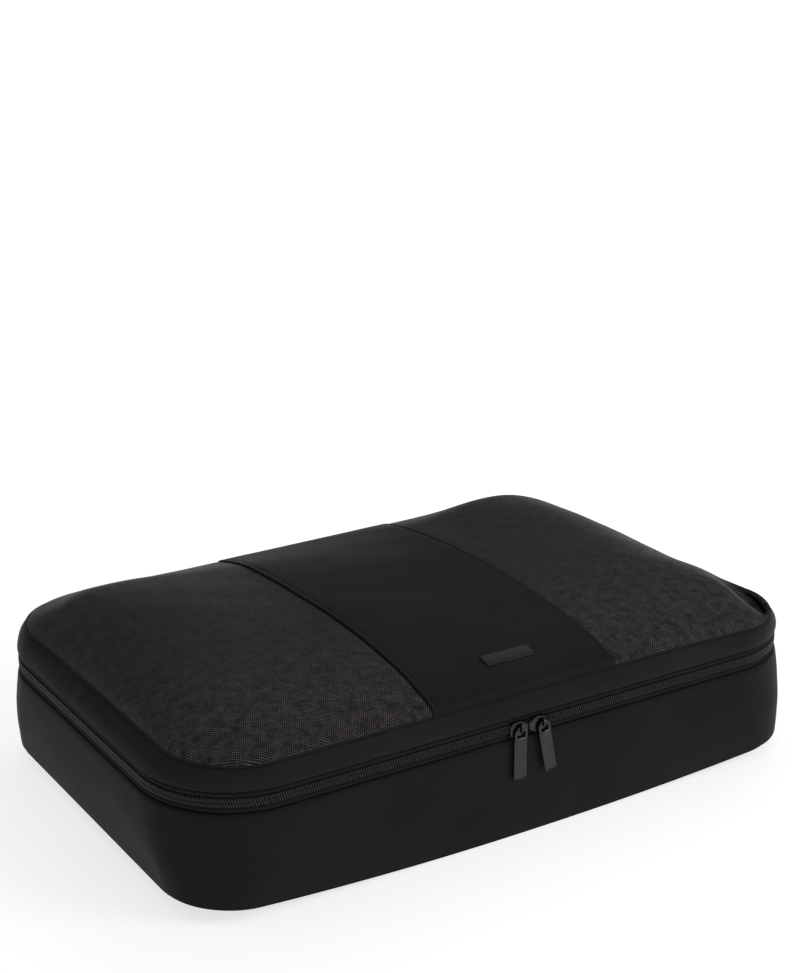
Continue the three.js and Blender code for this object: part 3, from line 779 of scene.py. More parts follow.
def tray_wall(st, sizes):
    """The wall of the tray. Between its seams it swells by the wall bulge times a flattened
    sine of the height, and slow waves run round it, which fade out at both seams."""
    v = np.concatenate([
        np.linspace(0, 0.03, 6)[:-1], np.linspace(0.03, 0.965, 27), np.linspace(0.965, 1, 9)[1:]])
    inset, z = wall_profile(v)
    swell = sizes.wall_bulge * np.sin(math.pi * np.clip(v, 0, 1)) ** 0.7
    inset = (inset - swell)[:, None]
    along, ends = walk(st)
    fade = np.sin(math.pi * v)[:, None] ** 0.6
    slow = waves(along, z[:, None] * 1.6, 95 * MM, 3) * fade
    fine = waves(along, z[:, None] * 2.2, 34 * MM, 4) * fade
    relief = sizes.wave * (slow + 0.3 * fine) * ends
    radius = FOOT_RADIUS + (CORNER_RADIUS - FOOT_RADIUS) * v[:, None] - inset
    x, y = outline(st, inset, inset, inset, radius)
    x, y = x + relief * st.ux, y + relief * st.uy
    piece = skin("wall", st, x, y, z[:, None], "base", "wall_nylon")
    thicken(piece, sizes.cloth)
    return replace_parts(piece, "front_wall", "left_wall", "right_wall", "back_wall")


def bottom_seam(st):
    """The seam between the floor and the wall: a slim turned edge of cloth that lies in the
    groove between the two."""
    inset = FOOT_INSET + 0.9 * MM
    x, y = outline(st, inset, inset, inset, FOOT_RADIUS - 0.5 * MM)
    return round_cord("bottom_seam", st, x, y, FOOT_TURN, 0.45 * MM, "wall_nylon", "base")


def edging(name, st, x, y, z, profile, around, slot, body):
    """A closed profile of cloth or tape, carried once round the case along an outline.
    `around` is the UV's second number at each point of the profile."""
    up = np.broadcast_to(UP, (st.count, 3))
    points = carry(ring_points(x, y, z), outward(st), up, profile)
    uv = np.stack(np.broadcast_arrays(run_length(x, y)[:, None], around[None, :]), -1)
    faces = grid_faces(*points.shape[:2], wrap_rows=True, wrap_columns=True)
    return make_piece(name, points, faces, body, slot, uv=uv)


def round_cord(name, st, x, y, z, radius, slot, body, sides=8):
    """A round edge of cloth carried along an outline."""
    turn = 2 * math.pi * np.arange(sides) / sides
    profile = radius * np.stack([np.cos(turn), np.sin(turn)], -1)
    return edging(name, st, x, y, z, profile, radius * turn, slot, body)


def binding(name, st, node_name, line, body):
    """A folded binding tape inside the case: a flat loop with round edges, 1.2 mm thick and as
    high as the frame's own, carried round the outline."""
    low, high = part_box(node_name)
    profile = rounded_section(0.6 * MM, (high.z - low.z) / 2, 0.45, 20)
    piece = edging(
        name, st, *line, (low.z + high.z) / 2, profile, profile[:, 1], "binding_webbing", body)
    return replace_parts(piece, node_name)


# ------------------------------------------------------------------ the lid

def lid_band(st, sizes):
    """The lid's gusset. Its foot rolls in over 1.2 mm at the zip, its face swells a little,
    and its head leans in to the seam by the seam's own insets, and rolls in over 1.6 mm. Slow
    waves and small puckers run round it, which fade out at its two edges."""
    v = np.concatenate([
        np.linspace(0, 0.09, 7)[:-1], np.linspace(0.09, 0.88, 12), np.linspace(0.88, 1, 8)[1:]])
    height = GUSSET_HIGH.z - GUSSET_LOW.z
    z = GUSSET_LOW.z + height * v
    low, high = 1.2 * MM, 1.6 * MM
    into = low * (1 - rounded(v * height / low))
    into = into + high * (1 - rounded((1 - v) * height / high))
    swell = 1.4 * MM * np.sin(math.pi * v) ** 0.8
    lean = v ** 1.15
    side_lean = HALF_LENGTH - SEAM_HALF
    front_lean = HALF_WIDTH + SEAM_FRONT
    back_lean = HALF_WIDTH - SEAM_BACK
    common = (into - swell)[:, None]
    lean = lean[:, None]
    radius = CORNER_RADIUS + (SEAM_RADIUS - CORNER_RADIUS) * lean
    x, y = outline(
        st, side_lean * lean + common, front_lean * lean + common, back_lean * lean + common,
        radius - common)
    along, ends = walk(st)
    relief = 0.55 * sizes.wave * waves(along, z[:, None] * 2, 38 * MM, 21) * ends
    relief = relief * np.sin(math.pi * v)[:, None] ** 0.7
    pucker = waves(along, z[:, None] * 0.5, 13 * MM, 22) * waves(along, 0 * z[:, None], 60 * MM, 23)
    relief = relief + 0.6 * MM * pucker * ends * np.sin(math.pi * v)[:, None]
    x, y = x + relief * st.ux, y + relief * st.uy
    piece = skin("lid_gusset", st, x, y, z[:, None], "lid", "lid_nylon")
    thicken(piece, sizes.cloth)
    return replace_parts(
        piece, "lid_gusset_front", "lid_gusset_left", "lid_gusset_right", "lid_gusset_back")


def lid_sheet(name, x, y, lift, slot, node_name, sizes):
    """One panel of the lid's top from a grid of x and y. `lift` raises its outer face."""
    points = np.stack([x, y, lid_height(x, y, sizes) + lift], -1)
    piece = make_piece(
        name, points, grid_faces(*x.shape), "lid", slot, uv=np.stack([x, y], -1))
    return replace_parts(thicken(piece, sizes.cloth), node_name)


def lid_panels(sizes):
    """The three panels of the lid's top. The centre panel lies over the mesh, its two edges
    turned under and sewn down: it stands a lip's height above it, with a groove beside it."""
    rows = lid_rows()
    across = np.concatenate([
        np.linspace(-1, -0.93, 9)[:-1], np.linspace(-0.93, 0.93, 41), np.linspace(0.93, 1, 9)[1:]])
    y, c = np.meshgrid(rows, across, indexing="ij")
    x = c * (PANEL_HALF + 0.6 * MM)
    to_edge = (1 - np.abs(c)) * PANEL_HALF
    d = seam_distance(x, y)[2]
    at_seam = smoothstep(d, 0, 3 * MM)
    lip = PANEL_LIP * rounded(to_edge / (1.4 * MM))
    stitched = -0.35 * MM * np.exp(-((to_edge - 3.2 * MM) / (0.8 * MM)) ** 2)
    lid_sheet("lid_center", x, y, (lip + stitched) * at_seam, "lid_nylon", "lid_center_panel",
              sizes)
    half = seam_half_at(rows)[:, None]
    t = np.sin(np.linspace(0, math.pi / 2, 92))[None, :]
    x = (PANEL_HALF - 0.4 * MM) + (half - PANEL_HALF + 0.4 * MM) * t
    y = np.broadcast_to(rows[:, None], x.shape)
    groove = -0.7 * MM * np.exp(-((x - PANEL_HALF) / (1.6 * MM)) ** 2)
    lid_sheet("mesh_window_right", x, y, groove, "lid_mesh", "lid_right_mesh", sizes)
    lid_sheet("mesh_window_left", -x[:, ::-1], y, groove[:, ::-1], "lid_mesh", "lid_left_mesh",
              sizes)


def seam_line(st, more=0.0):
    """X and y of the lid's seam at each station, drawn in by a little more where asked."""
    return outline(st, HALF_LENGTH - SEAM_HALF + more, HALF_WIDTH + SEAM_FRONT + more,
                   HALF_WIDTH - SEAM_BACK + more, SEAM_RADIUS - more)


def lid_tape(name, centre_x, sizes):
    """The tape under one seam of the centre panel, following the inside of the lid."""
    rows = lid_rows()
    rows = rows[(rows > SEAM_FRONT + 5 * MM) & (rows < SEAM_BACK - 5 * MM)]
    y, x = np.meshgrid(rows, centre_x + np.linspace(-4 * MM, 4 * MM, 9), indexing="ij")
    z = lid_height(x, y, sizes) - sizes.cloth - 0.9 * MM
    piece = make_piece(name + "_inside", np.stack([x, y, z], -1), grid_faces(*x.shape), "lid",
                       "binding_webbing", uv=np.stack([y, x], -1))
    thicken(piece, 0.7 * MM)
    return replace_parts(piece, name)


# ------------------------------------------------------------------ stitching

def resample(path, step):
    """Points along a line (n, 3) at equal steps, with their directions."""
    walked = np.concatenate([[0], np.cumsum(np.linalg.norm(np.diff(path, axis=0), axis=1))])
    count = max(2, int(walked[-1] / step))
    at = (np.arange(count) + 0.5) * walked[-1] / count
    def take(offset):
        return np.stack([np.interp(at + offset, walked, path[:, k]) for k in range(3)], -1)
    return take(0), unit(take(step * 0.2) - take(-step * 0.2))


def stitches(name, path, out, body, sizes, radius=0.24 * MM):
    """A row of stitches along a line. Each is a slim grain: its half-width is the radius
    times the square root of one minus the fourth power of the place along it, and its two
    ends dip by half a radius. `out` is the way that the cloth faces at each point."""
    place, ahead = resample(path, sizes.stitch + sizes.stitch_gap)
    walked = np.linspace(0, 1, len(path))
    facing = unit(np.stack([
        np.interp(np.linspace(0, 1, len(place)), walked, out[:, k]) for k in range(3)], -1))
    across = np.cross(facing, ahead)
    t = np.array([-1, -0.86, -0.4, 0.4, 0.86, 1.0])
    turn = 2 * math.pi * np.arange(6) / 6
    width = radius * np.sqrt(np.maximum(1 - t ** 4, 0))
    dive = -0.5 * radius * t ** 2
    points = (place[:, None, None, :]
              + (sizes.stitch / 2 * t)[None, :, None, None] * ahead[:, None, None, :]
              + (width[:, None] * np.cos(turn))[None, ..., None] * across[:, None, None, :]
              + (width[:, None] * np.sin(turn) + dive[:, None])[None, ..., None]
              * facing[:, None, None, :])
    one = grid_faces(len(t), len(turn), wrap_columns=True)
    faces = (one[None] + (np.arange(len(place)) * len(t) * len(turn))[:, None, None])
    return merge(make_piece(
        name, points, faces.reshape(-1, 4), body, "binding_webbing",
        material=finish_for("thread")))


def seams(st, sizes):
    """The rows of stitching: round the wall's hem, along both edges of the zip, and across the
    front of the centre panel."""
    def level(name, inset, z, body):
        x, y = rim(st, inset)
        stitches(name, ring_points(x, y, z), outward(st), body, sizes, 0.18 * MM)
    level("stitches_wall_hem", -0.5 * MM, WALL_TOP - 3.4 * MM, "base")
    level("stitches_zip_upper", 1.0 * MM, ZIP_HEIGHT + COIL_EDGE + 1.3 * MM, "lid")
    level("stitches_zip_lower", 1.0 * MM, ZIP_HEIGHT - COIL_EDGE - 1.1 * MM, "base")
    x = np.linspace(-PANEL_HALF + 5 * MM, PANEL_HALF - 5 * MM, 60)
    y = np.full(60, SEAM_FRONT + 3.5 * MM)
    z = lid_height(x, y, sizes) + PANEL_LIP + 0.05 * MM
    out = np.broadcast_to([0.0, -0.7, 0.7], (60, 3))
    stitches("stitches_lid_front", np.stack([x, y, z], -1), out, "lid", sizes)


# ------------------------------------------------------------------ the zip

def zip_tape(name, st, rows, body):
    """One tape of the zip, from a profile of insets and heights, facing outwards."""
    inset, z = (np.array(values)[:, None] * MM for values in zip(*rows))
    x, y = rim(st, inset)
    piece = skin(name, st, x, y, z, body, "zip_tape")
    thicken(piece, 0.6 * MM)
    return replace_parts(piece, name.replace("_tape", "_zip_tape"))


def zip_coil(name, st, side, sizes):
    """One half of the coil: a filament wound in a flat helix. With the angle of the winding
    as the walk's length over the pitch, the filament's middle lies at the cosine of that
    angle across the chain and at its sine in depth. The other half is half a turn on, so
    that the heads of the two pass between one another."""
    samples, sides = 10, 6
    wire = 0.42 * MM
    half_width = (COIL_EDGE + 0.1 * MM) / 2 - wire
    centre_z = ZIP_HEIGHT + side * (COIL_EDGE - 0.25 * MM - half_width - wire)
    depth, centre_out = 0.5 * MM, -0.95 * MM
    x, y = rim(st, 0.0)
    walked = run_length(x, y)
    turns = int((walked[-1] - 2 * MM) / sizes.coil_pitch)
    angle = 2 * math.pi * np.arange(turns * samples) / samples
    at = 1 * MM + angle / (2 * math.pi) * sizes.coil_pitch
    ux, uy = np.interp(at, walked, st.ux), np.interp(at, walked, st.uy)
    size = np.hypot(ux, uy)
    out = np.stack([ux / size, uy / size, np.zeros(len(at))], -1)
    middle = np.stack([np.interp(at, walked, x), np.interp(at, walked, y),
                       np.full(len(at), centre_z)], -1)
    phase = angle + (math.pi if side > 0 else 0)
    middle = middle + (centre_out + depth * np.sin(phase))[:, None] * out
    middle[:, 2] += half_width * np.cos(phase)
    ahead = unit(np.gradient(middle, axis=0))
    away = np.sin(phase)[:, None] * out
    away[:, 2] += np.cos(phase)
    across = unit(np.cross(ahead, away))
    up = np.cross(across, ahead)
    turn = 2 * math.pi * np.arange(sides) / sides
    profile = wire * np.stack([np.cos(turn), np.sin(turn)], -1)
    points, faces = capped_tube(carry(middle, across, up, profile))
    piece = make_piece(name, points, faces, "lid" if side > 0 else "base", "zip_coil")
    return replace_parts(merge(piece), name.replace("_coil", "_zip_coil"))


# ------------------------------------------------------------------ sliders and pulls

def rounded_section(half_width, half_height, power, count=24):
    """A superellipse: each number is the half-size times a power of the cosine or sine."""
    turn = np.linspace(0, 2 * math.pi, count, endpoint=False)
    c, s = np.cos(turn), np.sin(turn)
    return np.stack([half_width * np.sign(c) * np.abs(c) ** power,
                     half_height * np.sign(s) * np.abs(s) ** power], -1)


def extruded_plate(outline_xz, y_front, y_back, bevel):
    """A plate with the outline (k, 2) in X and Z, between two depths. Its two faces are
    drawn in by a bevel. Returns points and quads, with the faces closed on a middle point."""
    middle = outline_xz.mean(0)
    def ring(y, inset):
        shrunk = outline_xz - inset * (outline_xz - middle) / np.linalg.norm(
            outline_xz - middle, axis=1, keepdims=True)
        return np.stack([shrunk[:, 0], np.full(len(shrunk), y), shrunk[:, 1]], -1)
    rings = np.stack([ring(y_front, 2.2 * bevel), ring(y_front, bevel), ring(y_front + bevel, 0),
                      ring(y_back - bevel, 0), ring(y_back, bevel), ring(y_back, 2.2 * bevel)])
    return capped_tube(rings)


def combine(*parts):
    """Joins several (points, faces) pairs into one."""
    points, faces, start = [], [], 0
    for p, f in parts:
        p = p.reshape(-1, 3)
        points.append(p)
        faces.append(f + start)
        start += len(p)
    return np.concatenate(points), np.concatenate(faces)


def bar(path, side, up, half_width, half_height, power=0.5, count=16):
    """A rounded bar along a path. `side` and `up` may be one direction for the whole path."""
    side, up = np.broadcast_to(side, path.shape), np.broadcast_to(up, path.shape)
    return capped_tube(carry(
        path, side, up, rounded_section(half_width, half_height, power, count)))


def bent_bar(path, side, half_width, half_height, power):
    """A rounded bar along a bent path whose width keeps to one direction."""
    side = np.broadcast_to(side, path.shape)
    ahead = unit(np.gradient(path, axis=0))
    return bar(path, side, np.cross(ahead, side), half_width, half_height, power)


def slider(name, direction, pivot):
    """A zip slider: a faceted front plate with a lip over each coil, a rear plate, the neck
    between them, and a bent loop that holds the pull. `direction` is the way that its nose
    points along X."""
    low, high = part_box(name)
    nose_x = high.x if direction > 0 else low.x
    half = (high.z - low.z) / 2
    long = high.x - low.x
    z0 = (high.z + low.z) / 2
    shape = np.array([
        [0, 0.42], [0, -0.42], [-0.36, -1], [-0.62, -1], [-0.92, -0.88], [-1, -0.6],
        [-1, 0.6], [-0.92, 0.88], [-0.62, 1], [-0.36, 1]])
    xz = np.stack([nose_x + direction * shape[:, 0] * long, z0 + shape[:, 1] * half], -1)
    face_y = -HALF_WIDTH - 1.5 * MM
    front = extruded_plate(xz, face_y - 0.45 * MM, face_y + 1.2 * MM, 0.55 * MM)
    rear = extruded_plate(xz, high.y - 1.2 * MM, high.y, 0.3 * MM)
    x_lip = nose_x - direction * np.array([0.38, 0.86]) * long
    lips = []
    for sign in (-1, 1):
        path = np.stack([x_lip, np.full(2, -HALF_WIDTH + 0.1 * MM),
                         np.full(2, z0 + sign * (half - 0.35 * MM))], -1)
        lips.append(bar(path, DEEP, UP, 1.75 * MM, 0.33 * MM))
    neck_path = np.array([[nose_x - direction * 2 * MM, face_y + 0.6 * MM, z0],
                          [nose_x - direction * 2 * MM, high.y - 0.6 * MM, z0]])
    neck = bar(neck_path, ACROSS, UP, 1.5 * MM, 0.2 * MM)
    # The loop: a bar bent round the pivot, from the plate, over the pull's wire, and back.
    turn = np.linspace(-0.5 * math.pi, 0.5 * math.pi, 13)
    reach = 2.0 * MM
    legs = face_y + 0.6 * MM
    arc = np.stack([np.full(len(turn), pivot.x),
                    pivot.y - 0.35 * MM - (reach - 0.35 * MM) * np.cos(turn),
                    pivot.z + reach * np.sin(turn)], -1)
    path = np.concatenate([
        [[pivot.x, legs, pivot.z - reach]], arc, [[pivot.x, legs, pivot.z + reach]]])
    loop = bent_bar(path, ACROSS, 0.85 * MM, 0.52 * MM, 0.6)
    points, faces = combine(front, rear, *lips, neck, loop)
    piece = make_piece(name + "_body", points, faces, name, "slider_gunmetal", smooth=False)
    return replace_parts(merge(piece), name)


def pull(name, pivot, tilt, twist, half_width, half_thick=0.95 * MM):
    """A pull: a flat tab whose head is a round-topped loop. The tab is a bar with chamfered
    edges and a lip along its foot. The loop is a rounded bar carried up one side of the eye,
    over its top in a half circle, and down the other. It hangs from its pivot at a tilt, and
    it is turned a little about its own length."""
    wire = 0.9 * MM
    eye = half_width - wire
    centre_z = -eye
    turn = np.linspace(0, math.pi, 25)
    top = np.stack([eye * np.cos(turn), 0 * turn, centre_z + eye * np.sin(turn)], -1)
    low_z = centre_z - 3.6 * MM
    path = np.concatenate([[[eye, 0, low_z]], top, [[-eye, 0, low_z]]])
    loop = bent_bar(path, DEEP, half_thick, wire, 0.65)
    # The tab's rows: a chamfer at the head, straight sides, and a chamfer at the foot.
    foot_z = -PULL_DROP
    head_z = centre_z - 2.6 * MM
    rows_z = np.array([head_z, head_z - 0.4 * MM, head_z - 1.0 * MM, -0.5 * (PULL_DROP + 8 * MM),
                       foot_z + 1.9 * MM, foot_z + 0.5 * MM, foot_z])
    grow = np.array([0.86, 0.97, 1.0, 1.0, 1.0, 1.03, 0.98])
    thick = np.array([0.5, 0.9, 1.0, 1.0, 1.0, 1.3, 1.1])
    ahead_y = -np.maximum(thick - 1, 0)     # the foot's lip stands out at the front only
    section = np.array([[-1, -0.4], [-0.84, -1], [0.84, -1], [1, -0.4],
                        [1, 0.4], [0.84, 1], [-0.84, 1], [-1, 0.4]])
    tab = np.stack([
        half_width * grow[:, None] * section[None, :, 0],
        half_thick * (thick[:, None] * section[None, :, 1] + ahead_y[:, None]),
        np.broadcast_to(rows_z[:, None], (len(rows_z), len(section)))], -1)
    points, faces = combine(loop, capped_tube(tab))
    c, s = math.cos(twist), math.sin(twist)
    points = np.stack([points[:, 0] * c - points[:, 1] * s,
                       points[:, 0] * s + points[:, 1] * c, points[:, 2]], -1)
    c, s = math.cos(tilt), math.sin(tilt)
    turned = np.stack([points[:, 0] * c - points[:, 2] * s, points[:, 1],
                       points[:, 0] * s + points[:, 2] * c], -1)
    piece = make_piece(name + "_tab", turned + np.array(pivot), faces, name, "slider_gunmetal",
                       smooth=False)
    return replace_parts(soften(merge(piece), 0.12 * MM), name)


def soften(piece, width):
    """Rounds a piece's sharp edges slightly, as casting and plating do."""
    bevel = piece.modifiers.new("edge", "BEVEL")
    bevel.width = width
    bevel.segments = 2
    bevel.limit_method = "ANGLE"
    bevel.angle_limit = math.radians(35)
    bevel.harden_normals = True
    piece.data.polygons.foreach_set("use_smooth", np.full(len(piece.data.polygons), True))
    return piece


# ------------------------------------------------------------------ trim

def hinge_cloth(sizes):
    """The strip of cloth along the back that joins the tray to the lid. Its rows run up from
    the wall to the gusset, and its middle bows out a little between the two."""
    t = np.linspace(0, 1, 15)
    low, high = WALL_TOP - 1.4 * MM, GUSSET_LOW.z + 1.2 * MM
    across = np.linspace(HINGE_HIGH.x + 1.2 * MM, -HINGE_HIGH.x - 1.2 * MM, 120)
    x, v = np.meshgrid(across, t)
    z = low + (high - low) * v
    dip = 1.1 * MM * np.abs(2 * v - 1) ** 6
    y = HALF_WIDTH - dip + 0.25 * MM * waves(x, z, 40 * MM, 31) * np.sin(math.pi * v)
    piece = make_piece("hinge_cloth", np.stack([x, y, z], -1), grid_faces(*x.shape), None,
                       "wall_nylon", uv=np.stack([x, z], -1))
    solid = thicken(piece, sizes.cloth)
    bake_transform(solid)
    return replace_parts(solid, "hinge_strip")


def end_tab(name):
    """A tab of webbing that covers one end of the zip: a soft flat pad, whose two ends are
    rounded off by the square root of one minus the twelfth power of the place along it."""
    low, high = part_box(name)
    centre, half = (low + high) / 2, (high - low) / 2
    rows = np.linspace(-1, 1, 15)
    full = np.sqrt(np.maximum(1 - rows ** 12, 0.02))
    section = rounded_section(1, 1, 0.35, 24)
    points = np.stack([
        centre.x + half.x * section[None, :, 0] * (0.94 + 0.06 * full[:, None]),
        centre.y + half.y * section[None, :, 1] * full[:, None],
        np.broadcast_to((centre.z + half.z * rows)[:, None], (len(rows), len(section)))], -1)
    points, faces = capped_tube(points)
    piece = make_piece(
        name + "_cover", points, faces, "base", "binding_webbing", uv=points[..., [2, 0]])
    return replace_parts(merge(piece), name)


def care_label():
    """The blank care label: a small sheet of ribbon that curls a little away from the wall."""
    low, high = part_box("care_label")
    x, v = np.meshgrid(np.linspace(low.x, high.x, 25), np.linspace(0, 1, 19))
    z = high.z - (high.z - low.z) * v
    y = (low.y + high.y) / 2 - 1.6 * MM * v ** 2 - 0.4 * MM * np.sin(9 * v) * v
    piece = make_piece("care_ribbon", np.stack([x, y, z], -1), grid_faces(*x.shape), "base",
                       "label_satin")
    thicken(piece, 0.25 * MM, 0)
    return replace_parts(piece, "care_label")


def badge(sizes):
    """The blank badge: a slim crowned plate with rounded corners, which lies along the slope
    of the lid. Its rows run out from the middle of its underside, which follows the cloth, up
    its side, and in over a bevel to the middle of its face."""
    low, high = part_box("badge")
    centre_x, centre_y = (low.x + high.x) / 2, (low.y + high.y) / 2
    half_x, half_y = (high.x - low.x) / 2, 4.5 * MM
    inset = np.array([4.3, 2.8, 1.6, 0.0, 0.0, 0.45, 1.6, 2.8, 4.3]) * MM
    lift = np.array([-0.2, -0.2, -0.2, -0.2, 0.6, 1.05, 1.25, 1.38, 1.42]) * MM
    turn = np.linspace(0, 2 * math.pi, 64, endpoint=False)
    corner = 1.6 * MM
    def rings(share, half):
        return (np.sign(share) * (half - corner)
                + (corner - np.minimum(inset, corner)[:, None]) * share
                - np.sign(share) * np.maximum(inset - corner, 0)[:, None])
    x, y = rings(np.cos(turn), half_x) + centre_x, rings(np.sin(turn), half_y) + centre_y
    z = lid_height(x, y, sizes) + PANEL_LIP + lift[:, None]
    points, faces = capped_tube(np.stack([x, y, z], -1))
    piece = merge(make_piece("badge_plate", points, faces, "lid", "badge_metal"))
    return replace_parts(soften(piece, 0.1 * MM), "badge")


# ------------------------------------------------------------------ stage

def backdrop():
    """A pale sweep of paper: a flat round floor under the case, which turns up in a quarter
    circle, all round, well outside the lights."""
    flat, turn_radius = 18.0, 1.0
    turn = np.linspace(0, math.pi / 2, 17)
    reach = np.concatenate([[0, 1, 3], flat + turn_radius * np.sin(turn)])[:, None]
    z = np.concatenate([[0, 0, 0], turn_radius * (1 - np.cos(turn))])[:, None]
    angle = np.linspace(0, 2 * math.pi, 64, endpoint=False)[None, :]
    points = ring_points(reach * np.cos(angle), reach * np.sin(angle), z)
    faces = grid_faces(*points.shape[:2], wrap_columns=True)
    piece = make_piece(
        "floor_sweep", points, faces, None, "wall_nylon", material=studio_paper())
    merge(piece)


def aim(obj, place, target):
    """Puts an object somewhere and turns its -Z to a target."""
    obj.location = place
    obj.rotation_mode = "QUATERNION"
    obj.rotation_quaternion = (Vector(target) - Vector(place)).to_track_quat("-Z", "Y")


def softbox(name, power, size, place, target=(0, 0, 0.05)):
    """A square area light."""
    light = bpy.data.lights.new(name, "AREA")
    light.energy = power
    light.shape = "RECTANGLE"
    light.size, light.size_y = size
    obj = bpy.data.objects.new(name, light)
    bpy.context.scene.collection.objects.link(obj)
    aim(obj, place, target)


# ------------------------------------------------------------------ operators

class PACKCUBE_OT_stage(bpy.types.Operator):
    """Make the floor, the light and the camera"""
    bl_idname = "packcube.stage"
    bl_label = "Stage"

    def execute(self, context):
        settings = context.scene.packing_cube_stage
        backdrop()
        world = bpy.data.worlds.new("studio")
        world.use_nodes = True
        tree = world.node_tree
        direction = node(tree, "ShaderNodeTexCoord").outputs["Generated"]
        height = node(tree, "ShaderNodeSeparateXYZ", {0: direction}).outputs["Z"]
        dome = node(tree, "ShaderNodeMapRange", {
            "Value": height, "To Min": settings.horizon, "To Max": settings.sky})
        tree.nodes["Background"].inputs[0].default_value = (1, 1, 1, 1)
        tree.links.new(dome.outputs[0], tree.nodes["Background"].inputs[1])
        context.scene.world = world
        context.scene.view_settings.view_transform = "Standard"
        softbox("overhead", settings.key, OVERHEAD_SIZE, OVERHEAD_PLACE)
        softbox("side", settings.fill, SIDE_SIZE, SIDE_PLACE)
        camera = bpy.data.cameras.new("camera")
        camera.sensor_width = 36
        camera.lens = settings.lens
        camera.clip_start, camera.clip_end = 0.05, 40
        obj = bpy.data.objects.new("camera", camera)
        context.scene.collection.objects.link(obj)
        turn, lift = settings.camera_turn, settings.camera_rise
        back = Vector((math.sin(turn) * math.cos(lift), -math.cos(turn) * math.cos(lift),
                       math.sin(lift)))
        aim(obj, CAMERA_TARGET + back * settings.camera_distance, CAMERA_TARGET)
        context.scene.camera = obj
        return {"FINISHED"}


class PACKCUBE_OT_tray(bpy.types.Operator):
    """Make the tray's floor, its wall and the seam between them"""
    bl_idname = "packcube.tray"
    bl_label = "Tray"

    def execute(self, context):
        sizes = context.scene.packing_cube_sizes
        st = stations(True, context.scene.packing_cube_stage.corner_steps)
        tray_floor(st, sizes)
        tray_wall(st, sizes)
        bottom_seam(st)
        return {"FINISHED"}


class PACKCUBE_OT_lid(bpy.types.Operator):
    """Make the lid's gusset, its centre panel and its two mesh windows"""
    bl_idname = "packcube.lid"
    bl_label = "Lid"

    def execute(self, context):
        sizes = context.scene.packing_cube_sizes
        st = stations(True, context.scene.packing_cube_stage.corner_steps)
        lid_band(st, sizes)
        lid_panels(sizes)
        x, y = seam_line(st)
        round_cord("lid_seam", st, x, y, SEAM_HEIGHT - 0.1 * MM, 0.6 * MM, "lid_nylon", "lid")
        return {"FINISHED"}


class PACKCUBE_OT_zip(bpy.types.Operator):
    """Make the two tapes and the two halves of the coil"""
    bl_idname = "packcube.zip"
    bl_label = "Zip"

    def execute(self, context):
        sizes = context.scene.packing_cube_sizes
        st = stations(False, context.scene.packing_cube_stage.corner_steps)
        zip_low, zip_high = ZIP_HEIGHT / MM - 0.35, ZIP_HEIGHT / MM + 0.35
        coil = COIL_EDGE / MM
        middle = ZIP_HEIGHT / MM
        zip_tape("lower_tape", st, [
            (2.4, TAPE_FOOT / MM), (2.4, WALL_TOP / MM - 0.6), (1.6, WALL_TOP / MM + 0.2),
            (0.7, WALL_TOP / MM + 0.9), (0.4, WALL_TOP / MM + 1.5), (0.5, WALL_TOP / MM + 2.2),
            (1.1, middle - coil), (1.9, middle - coil + 0.7), (1.9, zip_low)], "base")
        zip_tape("upper_tape", st, [
            (1.9, zip_high), (1.9, middle + coil - 0.7), (1.1, middle + coil),
            (0.6, middle + coil + 0.8), (0.5, middle + coil + 1.6), (0.6, middle + coil + 2.4),
            (1.3, GUSSET_LOW.z / MM - 0.2), (2.4, GUSSET_LOW.z / MM + 0.5)], "lid")
        zip_coil("lower_coil", st, -1, sizes)
        zip_coil("upper_coil", st, 1, sizes)
        for name in ("left_zip_end_tab", "right_zip_end_tab"):
            end_tab(name)
        return {"FINISHED"}


class PACKCUBE_OT_hardware(bpy.types.Operator):
    """Make the two sliders and their pulls"""
    bl_idname = "packcube.hardware"
    bl_label = "Sliders and pulls"

    def execute(self, context):
        slider("left_slider", 1, LEFT_PIVOT)
        slider("right_slider", -1, RIGHT_PIVOT)
        low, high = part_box("left_pull")
        half_width = 1.06 * (high.x - low.x) / 2
        axis = JOINTS["right_pull_swing"]["axis"]
        lean = math.atan2(axis[2], axis[0]) + math.pi
        pull("left_pull", LEFT_PIVOT, 0.0, math.radians(-2), half_width)
        pull("right_pull", RIGHT_PIVOT, lean, math.radians(4), half_width)
        return {"FINISHED"}


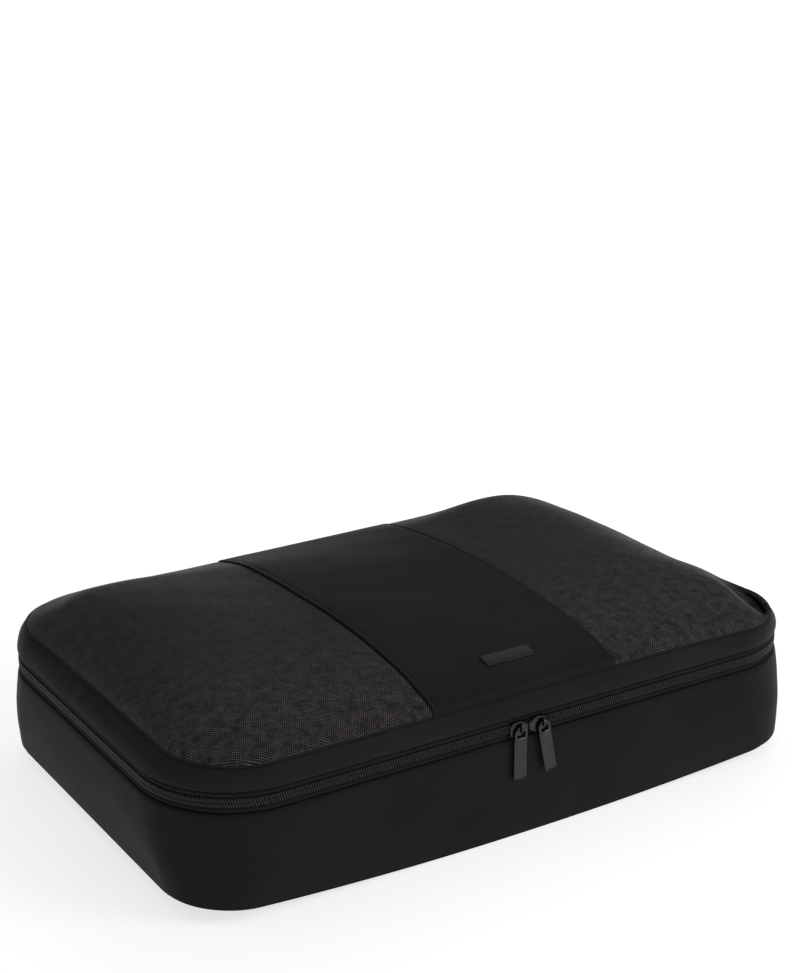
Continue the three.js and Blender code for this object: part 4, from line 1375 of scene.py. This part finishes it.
class PACKCUBE_OT_trim(bpy.types.Operator):
    """Make the hinge cloth, the bindings, the label, the badge and the stitching"""
    bl_idname = "packcube.trim"
    bl_label = "Trim"

    def execute(self, context):
        sizes = context.scene.packing_cube_sizes
        turns = context.scene.packing_cube_stage.corner_steps
        st, zip_st = stations(True, turns), stations(False, turns)
        hinge_cloth(sizes)
        inset = FOOT_INSET + 3.1 * MM
        line = outline(st, inset, inset, inset, FOOT_RADIUS - 3.1 * MM)
        binding("floor_binding", st, "base_seam_binding", line, "base")
        binding("lid_binding", st, "lid_seam_binding", seam_line(st, 3.0 * MM), "lid")
        lid_tape("left_seam_tape", -PANEL_HALF, sizes)
        lid_tape("right_seam_tape", PANEL_HALF, sizes)
        care_label()
        badge(sizes)
        seams(zip_st, sizes)
        return {"FINISHED"}


class PACKCUBE_PT_panel(bpy.types.Panel):
    """Lists the steps and their settings"""
    bl_idname = "PACKCUBE_PT_panel"
    bl_label = "Packing Cube"
    bl_space_type = "VIEW_3D"
    bl_region_type = "UI"
    bl_category = "Packing Cube"

    def draw(self, context):
        column = self.layout.column()
        for operator in OPERATORS:
            column.operator(operator.bl_idname)
        for group in ("packing_cube_sizes", "packing_cube_colours", "packing_cube_stage"):
            settings = getattr(context.scene, group)
            for key in settings.__annotations__:
                column.prop(settings, key)


GROUPS = {
    "packing_cube_sizes": PackingCubeSizes,
    "packing_cube_colours": PackingCubeColours,
    "packing_cube_stage": PackingCubeStage,
}
OPERATORS = (
    PACKCUBE_OT_stage, PACKCUBE_OT_tray, PACKCUBE_OT_lid, PACKCUBE_OT_zip,
    PACKCUBE_OT_hardware, PACKCUBE_OT_trim,
)


def register():
    for name, group in GROUPS.items():
        bpy.utils.register_class(group)
        setattr(bpy.types.Scene, name, PointerProperty(type=group))
    for made in (*OPERATORS, PACKCUBE_PT_panel):
        bpy.utils.register_class(made)


def unregister():
    for made in (PACKCUBE_PT_panel, *reversed(OPERATORS)):
        bpy.utils.unregister_class(made)
    for name, group in GROUPS.items():
        delattr(bpy.types.Scene, name)
        bpy.utils.unregister_class(group)


def main():
    """Registers the add-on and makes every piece."""
    register()
    for operator in OPERATORS:
        prefix, name = operator.bl_idname.split(".")
        getattr(getattr(bpy.ops, prefix), name)()


if __name__ == "__main__":
    main()
